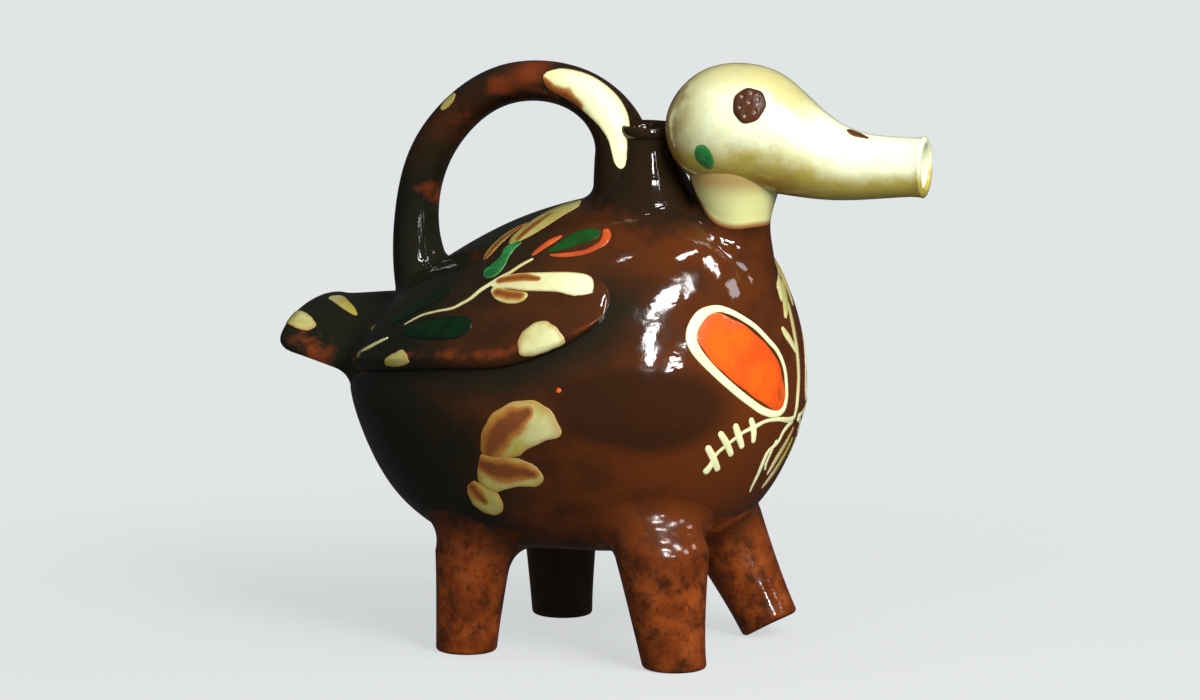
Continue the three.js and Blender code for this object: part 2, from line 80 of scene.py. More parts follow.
# height of a superellipse quarter of width 1: (1 - t^n)^(1/n)
def quarter(t, fullness):
    return np.maximum(0.0, 1 - np.clip(t, 0, 1) ** fullness) ** (1 / fullness)


# height of a half round of radius 1: sqrt(1 - t^2)
def arc(t):
    return np.sqrt(np.maximum(0.0, 1 - t ** 2))


# dies away from 1 on both sides: exp(-t^2)
def fading(t):
    return np.exp(-t ** 2)


# quadratic curve from a to c, pulled towards b
def bend(a, b, c, t):
    return (1 - t) ** 2 * a + 2 * t * (1 - t) * b + t ** 2 * c


def turnsOf(count):
    return np.linspace(0, 2 * math.pi, count, endpoint=False)


def stack(x, y, z):
    return np.stack(np.broadcast_arrays(x, y, z), axis=-1).astype(float)


def join(*parts):
    return np.concatenate(parts)


def unit(vectors):
    return vectors / np.maximum(np.linalg.norm(vectors, axis=-1, keepdims=True), 1e-9)


def mirror(points):
    return points * np.array([1, -1, 1])


# count places spread evenly along the line through the points (x, y)
def evenly(x, y, count):
    run = join([0], np.cumsum(np.hypot(np.diff(x), np.diff(y))))
    at = np.linspace(0, run[-1], count)
    return np.interp(at, run, x), np.interp(at, run, y)


# where something stops being inside between low and high, by halving
def halving(low, high, rounds, isInside):
    for _ in range(rounds):
        middle = (low + high) / 2
        inside = isInside(middle)
        low, high = np.where(inside, middle, low), np.where(inside, high, middle)
    return (low + high) / 2


# how a surface at(a, b) runs along each of the two, from differences a gap to each side
def slopes(at, a, b, gap):
    return at(a + gap, b) - at(a - gap, b), at(a, b + gap) - at(a, b - gap)


# Hand-made clay is never quite true. Every point of every piece is moved by one soft field, two
# sine waves in each direction, so that joints stay closed. It fades out at the sides of the CAD
# box and at the table. narrow leaves room in the box for the slip on the flanks.
unevenness = {
    "reach": 0.55, "waves": (0.047, 0.071, 0.113), "second": 0.5, "fade": 9.0, "narrow": 0.993,
    "phases": ((0.7, 2.1), (1.9, 0.4), (3.1, 1.3)),
}


def warp(points):
    x, y, z = np.moveaxis(points, -1, 0)
    a, b, c = unevenness["waves"]
    angles = ((a * z + b * y, c * y - a * x), (a * x + b * z, c * z + b * x),
              (a * y + b * x, c * x - b * y))
    push = stack(*(
        np.sin(angle + phase) + unevenness["second"] * np.sin(angleTwo + phaseTwo)
        for (angle, angleTwo), (phase, phaseTwo) in zip(angles, unevenness["phases"])
    ))
    place = points * np.array([1, unevenness["narrow"], 1]) + np.array([shiftX, 0, 0])
    room = np.minimum(place - boxLow, boxHigh - place) / unevenness["fade"]
    return place + unevenness["reach"] * push * ease(room)


def material(name):
    return bpy.data.materials.get(name) or bpy.data.materials.new(name)


# Points, quads and fans of a grid (rows, around, 3). Quads join the rows, and each row closes on
# itself round the piece. A fan round its middle closes each end, or the last row joins the first.
# The signed volume tells which way the faces turn.
def gridParts(grid, loop):
    rows, around = grid.shape[:2]
    index = np.arange(rows * around).reshape(rows, around)
    if loop:
        index = join(index, index[:1])
    beside = np.roll(index, -1, axis=1)
    quads = np.stack([index[:-1], beside[:-1], beside[1:], index[1:]], axis=-1).reshape(-1, 4)
    points = grid.reshape(-1, 3)
    fans = np.zeros((0, 3), int)
    if not loop:
        start, end = np.full(around, len(points)), np.full(around, len(points) + 1)
        points = join(points, [grid[0].mean(axis=0), grid[-1].mean(axis=0)])
        fans = join(
            np.stack([start, beside[0], index[0]], axis=-1),
            np.stack([end, index[-1], beside[-1]], axis=-1),
        )
    corners = join(quads[:, [0, 1, 2]], quads[:, [0, 2, 3]], fans)
    a, b, c = (points[corners[:, k]] for k in range(3))
    if np.einsum("ij,ij->i", a, np.cross(b, c)).sum() < 0:
        quads, fans = quads[:, ::-1], fans[:, ::-1]
    return points, quads, fans


# values of a grid for its mesh: one to a point, and the mean of an end row for the end's middle
def perPoint(numbers, loop):
    ends = [] if loop else [numbers[0].mean(), numbers[-1].mean()]
    return join(numbers.reshape(-1), ends)


# Makes a piece of one or more grids. values has, for each name, one array of numbers to a grid.
# The unevenness moves the rows, and with ownEnds it moves the middles of the ends as well.
def putPiece(name, grids, materialName, replaced=(), values=None, loop=False, ownEnds=False):
    parts = [gridParts(grid if ownEnds else warp(grid), loop) for grid in grids]
    starts = np.cumsum([0] + [len(points) for points, _, _ in parts])
    faces = []
    for start, (_, quads, fans) in zip(starts, parts):
        faces += (quads + start).tolist() + (fans + start).tolist()
    mesh = bpy.data.meshes.new(name)
    points = np.concatenate([points for points, _, _ in parts])
    points = warp(points) if ownEnds else points
    mesh.from_pydata((points / 1000).tolist(), [], faces)
    mesh.polygons.foreach_set("use_smooth", np.ones(len(faces), bool))
    for label, numbers in (values or {}).items():
        flat = np.concatenate([perPoint(own, loop) for own in numbers]).astype(np.float32)
        mesh.attributes.new(label, "FLOAT", "POINT").data.foreach_set("value", flat)
    mesh.materials.append(material(materialName))
    mesh.update()
    piece = bpy.data.objects.new(name, mesh)
    bpy.context.scene.collection.objects.link(piece)
    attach(piece, "root")
    if replaced:
        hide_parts(*replaced)


# Belly. At each height its plan is an ellipse, whose front, rear and side reach follow
# superellipse quarters above the widest ring. Below it they follow the bowl: a squarer quarter
# drawn in by 1 - taper * drop^curve.
def bowl(drop):
    draw = 1 - belly["taper"] * drop ** belly["curve"]
    return draw * quarter(drop, belly["baseFullness"])


def bellySection(z, grow=0.0):
    rise = (z - belly["widest"]) / (belly["crown"] + grow - belly["widest"])
    drop = np.clip((belly["widest"] - z) / (belly["widest"] - belly["underside"] + grow), 0, 1)
    upper = z >= belly["widest"]
    middle = np.where(upper, belly["crownX"], (belly["breast"] + belly["rump"]) / 2)
    ahead = np.where(upper, quarter(rise, belly["breastFullness"]), bowl(drop))
    behind = np.where(upper, quarter(rise, belly["backFullness"]), bowl(drop))
    front = blend(middle, belly["breast"] + grow, ahead)
    rear = blend(middle, belly["rump"] - grow, behind)
    side = (belly["halfWidth"] + grow) * behind
    return (front + rear) / 2, np.maximum((front - rear) / 2, 1e-6), np.maximum(side, 1e-6)


# point of the belly at a turn from the breast, in radians, and a height
def bellyAt(turn, z, grow=0.0):
    middle, half, side = bellySection(z, grow)
    return stack(middle + half * np.cos(turn), -side * np.sin(turn), z)


# How far outside the belly a point lies, as a share of the section at its height. Above the crown
# and below the underside each millimetre adds a twentieth.
def bellyRatio(points, grow=0.0):
    bottom, top = belly["underside"] - grow, belly["crown"] + grow
    z = np.clip(points[..., 2], bottom + 0.01, top - 0.01)
    middle, half, side = bellySection(z, grow)
    ratio = np.hypot((points[..., 0] - middle) / half, points[..., 1] / side) - 1
    beyond = np.abs(points[..., 2] - z)
    return np.where(beyond > 0, np.maximum(ratio, 0) + beyond / 20 + 1e-4, ratio)


# the belly's outward direction, from differences of the ratio half a millimetre to each side
def bellyFacing(points):
    steps = np.eye(3) * 0.5
    return unit(np.stack(
        [bellyRatio(points + step) - bellyRatio(points - step) for step in steps], axis=-1
    ))


# carries points along the belly's outward direction to its skin, within 15 mm, and lifts them
def ontoBelly(points, lift):
    facing = bellyFacing(points)
    reach = np.full(points.shape[:-1], 15.0)
    isInside = lambda far: bellyRatio(points + facing * far[..., None]) < 0
    return points + facing * (halving(-reach, reach, 30, isInside) + lift)[..., None]


def bellyTop(x, y, grow):
    under, over = np.full(x.shape, belly["widest"]), np.full(x.shape, belly["crown"] + grow)
    return halving(under, over, 36, lambda z: bellyRatio(stack(x, y, z), grow) < 0)


neck = {
    "x": 18.0, "radius": 11.2, "spread": 9.0, "swell": 2.2, "rim": 212.0, "roll": 1.4,
    "rollHeight": 4.5, "lipHeight": 4.0, "bore": 7.2, "fillet": (4.0, 7.0), "around": 96,
}


# rows from the middle of the underside up to the hole under the filler neck
def bellyRows(grow, counts):
    turns = turnsOf(belly["around"])
    t = 1 - np.linspace(1, 0, 900) ** 4
    heights = blend(belly["widest"], belly["underside"] - grow, t)
    _, heights = evenly(bowl(t) * belly["halfWidth"], heights, counts[0])
    lower = bellyAt(turns, heights[::-1][1:, None], grow)
    shoulder = blend(belly["widest"], belly["crown"] + grow, belly["shoulder"])
    middle = bellyAt(turns, np.linspace(belly["widest"], shoulder, counts[1])[1:, None], grow)
    hole = stack(neck["x"] + neck["bore"] * np.cos(turns), -neck["bore"] * np.sin(turns), 0)
    plan = blend(middle[-1], hole, np.linspace(0, 1, counts[2])[1:, None, None])
    crown = stack(plan[..., 0], plan[..., 1], bellyTop(plan[..., 0], plan[..., 1], grow))
    return join(lower, middle, crown)


pot = join(bellyRows(0.0, (64, 56, 44)), bellyRows(-belly["wall"], (30, 26, 20))[::-1])

luting = {"sunk": 0.15, "least": 0.3}


# Runs a piece's columns down to the belly and seats them there. columns is (steps, around, 3)
# from the free end to well inside the belly. Each column is followed to the point where it
# meets the skin. Its last stretch is a quadratic curve that leaves the column a little before
# that point and ends along the skin a little way out from it, as a smoothed slip joint does.
def seatOnBelly(columns, fillet, freeRows, seatRows):
    pick = lambda values, row: np.take_along_axis(values, row, axis=0)
    ratio = bellyRatio(columns)
    first = np.maximum((ratio < 0).argmax(axis=0), 1)[None]
    before, after = pick(ratio, first - 1), pick(ratio, first)
    lengths = np.linalg.norm(np.diff(columns, axis=0), axis=-1)
    run = join(np.zeros((1, columns.shape[1])), np.cumsum(lengths, axis=0))
    share = np.clip(before / np.maximum(before - after, 1e-9), 0, 1)
    meet = blend(pick(run, first - 1), pick(run, first), share)

    def along(distance):
        row = np.clip((run[None] <= distance[:, None]).sum(axis=1) - 1, 0, len(run) - 2)
        part = (distance - pick(run, row)) / np.maximum(pick(lengths, row), 1e-9)
        row = row[..., None]
        return blend(pick(columns, row), pick(columns, row + 1), np.clip(part, 0, 1)[..., None])

    up, out = fillet
    leave = np.maximum(meet - up, luting["least"] * meet)
    free = along(np.linspace(0, 1, freeRows)[:, None] * leave)
    crossing = along(meet)[0]
    aside = unit(np.roll(crossing, -1, axis=0) - np.roll(crossing, 1, axis=0))
    away = np.cross(aside, unit(crossing - free[-1]))
    if (away * (crossing - crossing.mean(axis=0))).sum() < 0:
        away = -away
    facing = bellyFacing(crossing)
    away = unit(away - facing * (away * facing).sum(axis=1, keepdims=True))
    end = ontoBelly(crossing + away * out, -luting["sunk"])
    curve = bend(free[-1], crossing, end, np.linspace(0, 1, seatRows)[1:, None, None])
    return join(free, curve)


# a profile turned about the upright axis of a piece
def turned(piece, radius, z):
    turn = turnsOf(piece["around"])
    x = piece["x"] + radius[:, None] * np.cos(turn)
    return stack(x, -radius[:, None] * np.sin(turn), z[:, None])


# Filler neck: a profile turned about its axis, from the foot of its bore up the inside, over the
# rolled rim and down the outside onto the crown, where it widens by spread * down^swell
def neckRadius(z):
    down = np.clip((neck["rim"] - z) / (neck["rim"] - belly["crown"]), 0, 1.1)
    return neck["radius"] + neck["spread"] * down ** neck["swell"]


def neckGrid():
    roll, lipZ = neck["rollHeight"] / 2, neck["rim"] - neck["lipHeight"]
    angle = np.radians(np.linspace(90, -62, 24))
    wallZ = np.linspace(neck["rim"] - neck["rollHeight"] + 0.1, belly["crown"] - 9, 120)
    wallRadius = join(neck["radius"] + neck["roll"] * np.cos(angle), neckRadius(wallZ))
    wall = turned(neck, wallRadius,
                  join(neck["rim"] - roll + roll * np.sin(angle), wallZ))
    lip = np.radians(np.linspace(180, 90, 10))[1:-1]
    lipRadius = neck["radius"] + (neck["radius"] - neck["bore"]) * np.cos(lip)
    boreZ = np.linspace(belly["crown"] - belly["wall"] - 0.6, lipZ, 16)
    bore = turned(neck, join(np.full(16, neck["bore"] - 0.15), lipRadius),
                  join(boreZ, lipZ + neck["lipHeight"] * np.sin(lip)))
    return join(bore, seatOnBelly(wall, neck["fillet"], 60, 14))


putPiece("filler_neck_body", [neckGrid()], "darkGlaze", ["filler_neck"], loop=True)
print("filler neck: turned, with its rolled rim")


# Head: a small bottle laid on its side. Behind its middle it is half an ellipsoid, and in front
# of it a round that dies away along the beak by exp(-(s / reach)^n).
head = {
    "x": 57.3, "z": 212.3, "turn": 0.17, "back": 29.1, "front": 34.8, "fullness": 2.55,
    "halfHeight": 25.8, "halfWidth": 24.0, "beak": 77.6, "drop": 15.3, "lift": 1.7,
    "root": 15.0, "mouth": 11.5, "flare": 0.9, "lipLength": 7.0, "lipRound": 1.6, "wall": 4.0,
    "around": 128, "insideLow": 0.32,
}


# half width, half height and middle height of the section at s, forward of the middle
def headSection(s, grow=0.0):
    forward = np.clip(s, 0, head["beak"])
    dome = arc(np.clip(-s / (head["back"] + grow), 0, 1))
    bell = np.exp(-(forward / head["front"]) ** head["fullness"])
    lip = np.maximum(0, 1 - (head["beak"] - forward) / head["lipLength"])
    radius = blend(head["root"], head["mouth"], forward / head["beak"]) + head["flare"] * lip ** 2
    middle = blend(-head["drop"], head["lift"] - head["drop"], forward / head["beak"])
    top = blend(middle + radius, head["halfHeight"], bell)
    bottom = blend(middle - radius, -head["halfHeight"], bell)
    wide = (blend(radius, head["halfWidth"], bell) + grow) * dome
    return wide, ((top - bottom) / 2 + grow) * dome, (top + bottom) / 2


# point of the head at s along the beak and an angle round it, 0 on its right and 90 on top
def headAt(s, angle, grow=0.0):
    wide, tall, middle = headSection(s, grow)
    return stack(s, -wide * np.cos(angle), middle + tall * np.sin(angle))


# turns the head about the upright and sets it on the throat
def intoPlace(points):
    s, y, z = np.moveaxis(points, -1, 0)
    cosine, sine = math.cos(head["turn"]), math.sin(head["turn"])
    return stack(head["x"] + s * cosine - y * sine, s * sine + y * cosine, head["z"] + z)


headTurns = turnsOf(head["around"])


def headRows(grow, backRows, frontRows):
    turn = np.linspace(0, math.pi / 2, backRows)[1:-1]
    forward = np.linspace(0, head["beak"] - head["lipRound"], frontRows)
    s = join(-(head["back"] + grow) * np.cos(turn), forward)
    return headAt(s[:, None], headTurns, grow)


# the skin, the round lip and the hollow; low runs from 0 at the top of a section to 1 below
def headGrid():
    over = np.radians(np.linspace(90, -90, 14))[1:-1, None]
    lip = headAt(head["beak"], headTurns, -head["wall"] / 2 * (1 - np.sin(over)))
    lip[..., 0] -= head["lipRound"] * (1 - np.cos(over))
    hollow = headRows(-head["wall"], 24, 50)[::-1]
    grid = join(headRows(0.0, 40, 110), lip, hollow)
    _, tall, middle = headSection(grid[..., 0])
    low = 0.5 - (grid[..., 2] - middle) / np.maximum(tall, 1.0) / 2
    low[-len(hollow):] = head["insideLow"]
    return intoPlace(grid), low


headShape, headLow = headGrid()
putPiece("head_body", [headShape], "creamGlaze", ["head"], {"low": [headLow]})
print("head: hollow, with the beak as its spout")


# Eyes: clay pellets pressed on, pricked with a pointed stick while soft. The dome's height is
# h * sqrt(1 - r^4) and each prick takes away d * exp(-(distance / width)^2). The edge is ragged by
# waves of (strength, number, phase).
eye = {
    "forward": 9.7, "lift": 11.5, "radius": 6.6, "height": 1.5, "low": 0.2, "sunk": 0.5,
    "prickDepth": 0.75, "prickWidth": 0.62, "around": 180, "rows": 56,
    "ragged": ((0.035, 3, 0.6), (0.02, 7, 2.0)), "lumps": (0.08, 5, 3),
    "pricks": ((0.03, 0.14), (0.48, 0.30), (0.10, 0.64), (-0.42, 0.46), (-0.52, -0.12),
               (-0.18, -0.56), (0.42, -0.40)),
}


# points of the head's right side in its own frame, at s along the beak and a height z
def cheekAt(s, z):
    wide, tall, middle = headSection(s)
    rise = np.clip((z - middle) / np.maximum(tall, 1e-6), -1, 1)
    return stack(s, -wide * arc(rise), z)


def eyeGrid():
    r = (np.linspace(0, 1, eye["rows"] + 1)[1:] ** 0.85)[:, None]
    turn = turnsOf(eye["around"])
    ragged = 1 + sum(size * np.sin(times * turn + phase) for size, times, phase in eye["ragged"])
    a, b = r * np.cos(turn), r * np.sin(turn)
    size, timesA, timesB = eye["lumps"]
    dome = arc(r ** 2) * (1 + size * np.sin(timesA * a + timesB * b))
    x, y = np.array(eye["pricks"]).T[..., None, None]
    gap = np.hypot(a - x, b - y).min(axis=0) * eye["radius"]
    prick = fading(gap / eye["prickWidth"])
    height = eye["height"] * dome - eye["low"] - eye["prickDepth"] * prick
    s = eye["forward"] + eye["radius"] * a * ragged
    z = eye["lift"] + eye["radius"] * b * ragged
    place, facing = cheekAt(s, z), unit(np.cross(*slopes(cheekAt, s, z, 0.05)))
    top = place + facing * height[..., None]
    under = place[-1:] - facing[-1:] * eye["sunk"]
    return join(top, under), join(prick, np.zeros((1, eye["around"])))


eyeShape, eyePricks = eyeGrid()
for side, shape in (("right", eyeShape), ("left", mirror(eyeShape))):
    putPiece(f"eye_{side}_body", [intoPlace(shape)], "stampedClay", ["eye_" + side],
             {"prick": [eyePricks]})
print("eyes: pressed on and pricked")


# Throat: a tube waisted between the breast and the head, which it meets in a smooth flare
throat = {
    "x": 56.7, "radius": 13.8, "top": 196.5, "foot": 155.0, "waist": 171.9, "flareEnd": 194.5,
    "footSpread": 1.6, "topSpread": 4.9, "bore": 9.8, "boreZ": (150.0, 195.5),
    "fillet": (7.0, 8.0), "around": 96,
}


def throatRadius(z):
    waist = throat["waist"]
    above = ease((z - waist) / (throat["flareEnd"] - waist))
    below = ease((waist - z) / (waist - throat["foot"]))
    return throat["radius"] + throat["topSpread"] * above + throat["footSpread"] * below


tubeZ = np.linspace(throat["top"], 140, 160)
tube = seatOnBelly(turned(throat, throatRadius(tubeZ), tubeZ), throat["fillet"], 60, 16)
bore = turned(throat, np.full(30, throat["bore"]), np.linspace(*throat["boreZ"], 30))
putPiece("throat_body", [join(bore, tube)], "throatGlaze", ["throat"], loop=True)
print("throat: turned, dipped in cream slip above")


# Handle: an oval section carried along a bow of one curve, two quarter ellipses and a line. Its
# worn places are (x, z, reach, strength).
handle = {
    "thickness": 16.2, "width": 21.0, "footX": -75.0, "rearX": -86.0, "topX": -29.0,
    "topZ": 226.2, "rearZ": 163.0, "rootDrop": 36.0, "frontZ": 198.0, "seat": 0.5,
    "flare": 0.6, "rearFlare": 28.0, "frontFlare": 38.0, "root": 9.5, "around": 72,
    "fillet": (6.0, 9.0), "clear": 1.0,
    "wornAndLit": ((-76.0, 178.0, 6.0, 0.62), (-60.0, 212.0, 6.5, 0.45), (-43.0, 224.0, 7.0, 0.5),
             (-29.0, 231.0, 7.0, 0.5), (-20.0, 219.0, 7.0, 0.55), (-86.0, 160.0, 6.0, 0.35)),
}


def handleLine():
    front = neck["x"] - neck["radius"] + handle["seat"]
    rearX, rearZ, topX, topZ = (handle[label] for label in ("rearX", "rearZ", "topX", "topZ"))
    startZ, frontZ = rearZ - handle["rootDrop"], handle["frontZ"]
    t = np.linspace(0, 1, 200)
    rise, fall = np.linspace(math.pi, math.pi / 2, 300)[1:], np.linspace(math.pi / 2, 0, 300)[1:]
    x = join(
        bend(handle["footX"], rearX, rearX, t), topX + (topX - rearX) * np.cos(rise),
        topX + (front - topX) * np.cos(fall), np.full(60, front),
    )
    z = join(
        bend(startZ, (startZ + rearZ) / 2, rearZ, t), rearZ + (topZ - rearZ) * np.sin(rise),
        frontZ + (topZ - frontZ) * np.sin(fall),
        np.linspace(frontZ, belly["crown"] - handle["root"], 61)[1:],
    )
    return evenly(x, z, 900)


lineX, lineZ = handleLine()
lineStep = math.hypot(lineX[1] - lineX[0], lineZ[1] - lineZ[0])
aheadX, aheadZ = np.gradient(lineX), np.gradient(lineZ)


# Point of the handle at a share of its length and an angle round it, 0 on its outer face. Both
# ends widen by flare * exp(-(distance / reach)^2).
def handleAt(share, angle):
    last = len(lineX) - 1
    at = np.clip(share, 0, 1) * last
    x, z, dx, dz = (np.interp(at, np.arange(last + 1), values)
                    for values in (lineX, lineZ, aheadX, aheadZ))
    size = np.hypot(dx, dz)
    fromRear = at * lineStep / handle["rearFlare"]
    fromFront = (last - at) * lineStep / handle["frontFlare"]
    flare = 1 + handle["flare"] * (fading(fromRear) + fading(fromFront))
    out = handle["thickness"] / 2 * flare * np.cos(angle)
    across = handle["width"] / 2 * flare * np.sin(angle)
    return stack(x - out * dz / size, -across, z + out * dx / size)


# keeps the bore of the neck open: points over it move back to its rear wall
def clearOfBore(points):
    reach = neck["bore"] + handle["clear"]
    depth = reach * arc(points[..., 1] / reach)
    limit = np.where(np.abs(points[..., 1]) < reach, neck["x"] - depth, 1e6)
    return stack(np.minimum(points[..., 0], limit), points[..., 1], points[..., 2])


# half of the handle, from its middle to its end at share 0 or 1
def handleHalf(end, seatRows):
    columns = handleAt(np.linspace(0.5, end, 300)[:, None], turnsOf(handle["around"]))
    return seatOnBelly(columns, handle["fillet"], 110, seatRows)


bow = clearOfBore(join(handleHalf(0, 16)[::-1], handleHalf(1, 14)[1:]))
# reddish places, each strength * exp(-(distance in x and z / reach)^2)
bowWorn = sum(strength * fading(np.hypot(bow[..., 0] - x, bow[..., 2] - z) / reach)
              for x, z, reach, strength in handle["wornAndLit"])
putPiece("handle_body", [bow], "brownGlaze", ["handle"], {"wornAndLit": [bowWorn]})
print("handle: pulled and joined to the neck and the rump")


# Tail: a fan, wide and thin at its end, arched up towards its root. Its right edge is painted
# lighter and redder, painted light on its lit edge, round places of (x, reach, strength).
tail = {
    "tipX": -139.4, "rootX": -89.5, "tipZ": 122.8, "rootZ": 109.0, "halfWidth": 28.0,
    "tipWidth": 0.8, "thickness": 11.5, "tipThickness": 0.12, "arch": 22.0, "archAtTip": 0.4,
    "square": (0.85, 0.7), "rounding": 4.0, "corner": 0.18, "lean": 0.19, "around": 128,
    "fillet": (8.0, 9.0), "litFrom": 19.0, "litOver": 6.0,
    "wornAndLit": ((-119.0, 9.0, 0.62), (-139.0, 3.0, 0.5)),
}


def tailAt(share, angle):
    corner = arc(1 - np.minimum(1, share / tail["corner"]))
    across, up = (np.sign(part) * np.abs(part) ** power
                  for part, power in zip((np.cos(angle), np.sin(angle)), tail["square"]))
    rise = np.sqrt(np.maximum(share, 0)) * blend(tail["archAtTip"], 1, share)
    x = blend(tail["tipX"], tail["rootX"], share) + tail["rounding"] * (1 - share) * across ** 2
    y = tail["halfWidth"] * blend(tail["tipWidth"], 1, corner) * across
    middle = blend(tail["tipZ"], tail["rootZ"], share) + tail["arch"] * rise * (1 - across ** 2)
    thick = tail["thickness"] / 2 * blend(tail["tipThickness"], 1, corner)
    return stack(x, y, middle + tail["lean"] * y + thick * up)


tipShares = np.linspace(0, 1, 60)[1:] ** 2 * 0.1
tailShares = join(tipShares, np.linspace(0.1, 1.25, 200)[1:])
fan = seatOnBelly(tailAt(tailShares[:, None], turnsOf(tail["around"])), tail["fillet"], 90, 16)
# painted light: the lit right edge of the tail, reddish
fanLit = np.clip((-fan[..., 1] - tail["litFrom"]) / tail["litOver"], 0, 1) * sum(
    strength * fading((fan[..., 0] - x) / reach) for x, reach, strength in tail["wornAndLit"])
putPiece("tail_body", [fan], "brownGlaze", ["tail"], {"wornAndLit": [fanLit]}, ownEnds=True)
print("tail: pinched and joined to the rump")


# Wings: slabs laid round the flanks. The stand-off from the belly is nought outside them, rises
# steeply over the round lower edge and falls away to the back by (1 - height)^fall, but stays
# full up to the top at the rounded front. The lower edge carries a reddish band of painted light,
# where it is lit.
wing = {
    "front": 68.0, "rear": 157.0, "frontZ": 127.5, "rearZ": 107.0, "depth": 35.0,
    "thickness": 6.1, "frontRound": 0.3, "rearRound": 0.15, "edgeRound": 0.14, "fall": 1.25,
    "noseReach": 0.3, "sunk": 3.0, "low": 0.15, "shadeReach": 19.0, "dark": 0.45,
    "wornAndLit": 0.40, "litAt": 0.17, "litBand": 0.09, "litEnd": 0.8,
}


# how far the wing is open at a share of its length, 0 at its ends and 1 between
def wingOpen(share):
    front = np.maximum(0, 1 - share / wing["frontRound"])
    rear = np.maximum(0, 1 - (1 - share) / wing["rearRound"])
    return arc(np.maximum(front, rear))


def wingThickness(share, height):
    rising = np.sqrt(np.clip(height / wing["edgeRound"], 0, 1))
    nose = ease(1 - share / wing["noseReach"])
    below = np.clip(1 - height, 0, 1)
    falling = blend(below ** wing["fall"], np.sqrt(below), nose)
    return wing["thickness"] * rising * falling * np.sqrt(wingOpen(share))


def wingMiddle(share):
    return blend(wing["frontZ"], wing["rearZ"], share) + wing["depth"] / 2


# point of the right flank, wing and belly alike, at a turn in degrees and a height
def flankAt(turn, z):
    share = (turn - wing["front"]) / (wing["rear"] - wing["front"])
    within = (share > 0) & (share < 1)
    tall = np.maximum(wing["depth"] * wingOpen(share) * within, 1e-6)
    stand = wingThickness(share, (z - wingMiddle(share)) / tall + 0.5) * within
    return bellyAt(np.radians(turn), z, stand)


# the slab's outer face for angles up to half a turn and its buried face beyond
def wingGrid():
    share = (1 - np.cos(np.linspace(0, math.pi, 122)[1:-1, None])) / 2
    angle = turnsOf(96)
    height = (1 - np.cos(angle)) / 2
    turn = np.radians(blend(wing["front"], wing["rear"], share))
    z = wingMiddle(share) + (height - 0.5) * wing["depth"] * wingOpen(share)
    outer = wingThickness(share, height) - wing["low"]
    grow = np.where(np.sin(angle) < -1e-9, -wing["sunk"], outer)
    # painted light: a reddish lit band along the wing's round lower edge
    wornAndLit = wing["wornAndLit"] * fading((height - wing["litAt"]) / wing["litBand"])
    return bellyAt(turn, z, grow), wornAndLit * ease(4 * (wing["litEnd"] - share))


rightWing, wingLit = wingGrid()
# the wings' darkened value, dark, is a flat darker tone over the whole wing
for side, grid in (("right", rightWing), ("left", mirror(rightWing))):
    putPiece(f"wing_{side}_body", [grid], "brownGlaze", ["wing_" + side],
             {"wornAndLit": [wingLit], "darkened": [np.full_like(wingLit, wing["dark"])]})
print("wings: laid on the flanks")


# Painted shade on the belly under the wings: exp(-(distance / reach)^2) from their lower edge.
def shadeUnderWings(points):
    share = np.linspace(0, 1, 160)
    low = wingMiddle(share) - wing["depth"] / 2 * wingOpen(share)
    edge = bellyAt(np.radians(blend(wing["front"], wing["rear"], share)), low)
    right = stack(points[..., 0], -np.abs(points[..., 1]), points[..., 2])
    square = (right ** 2).sum(axis=-1)[..., None] + (edge ** 2).sum(axis=1) - 2 * right @ edge.T
    return np.exp(-np.maximum(square.min(axis=-1), 0) / wing["shadeReach"] ** 2)


putPiece("belly_body", [pot], "brownGlaze", ["belly"], {"darkened": [shadeUnderWings(pot)]},
         ownEnds=True)
print("belly: thrown, with its hole under the neck")


# Legs: rolled, wider towards the belly by spread * share^swell, with the edge of the foot rubbed
# round. Past the bend they turn in towards the middle of the belly.
legs = {
    "leg_rear_right": {"foot": (-41.3, -46, -4), "lean": (4, 3), "radius": 12.3, "spread": 6.5},
    "leg_rear_left": {"foot": (-41.3, 46, -4), "lean": (-1, -3), "radius": 12.3, "spread": 6.5},
    "leg_front_right": {"foot": (51.5, -46, -4), "lean": (-12, 4), "radius": 13.0, "spread": 10.0},
    "leg_front_left": {"foot": (55.8, 38, 4.6), "lean": (-33, -1), "radius": 12.3, "spread": 8.0},
}
legShape = {
    "rootZ": 66.0, "swell": 1.6, "edge": 1.8, "bend": 0.7, "end": 1.35, "inward": 0.5,
    "fillet": (12.0, 11.0), "around": 72,
}


def legColumns(leg):
    foot = np.array(leg["foot"], float)
    root = np.array([foot[0] + leg["lean"][0], foot[1] + leg["lean"][1], legShape["rootZ"]])
    axis = unit(root - foot)
    start = max(0.0, -foot[2] / (root[2] - foot[2]))
    standing = start > 0
    across = np.array([1.0, 0, 0]) if standing else unit(np.cross([0, 1.0, 0], axis))
    side = np.array([0, 1.0, 0]) if standing else np.cross(axis, across)
    share = np.linspace(start, legShape["end"], 240)[:, None, None]
    turn = turnsOf(legShape["around"])[:, None]
    reach = leg["radius"] + leg["spread"] * np.maximum(share, 0) ** legShape["swell"]
    run = np.linalg.norm(root - foot) * (share - start)
    edge = legShape["edge"]
    rubbed = edge * (1 - arc(np.clip(1 - run / edge, 0, 1)))
    grid = blend(foot, root, share)
    grid = grid + (reach - rubbed) * (across * np.cos(turn) + side * np.sin(turn))
    inward = ease((share[..., 0] - legShape["bend"]) / (legShape["end"] - legShape["bend"]))
    x, y = (blend(grid[..., k], root[k] * legShape["inward"], inward) for k in (0, 1))
    return stack(x, y, np.maximum(grid[..., 2], 0))


for node, leg in legs.items():
    putPiece(node + "_body", [seatOnBelly(legColumns(leg), legShape["fillet"], 70, 14)],
             "thinGlaze", [node])
print("legs: rolled and joined under the belly")


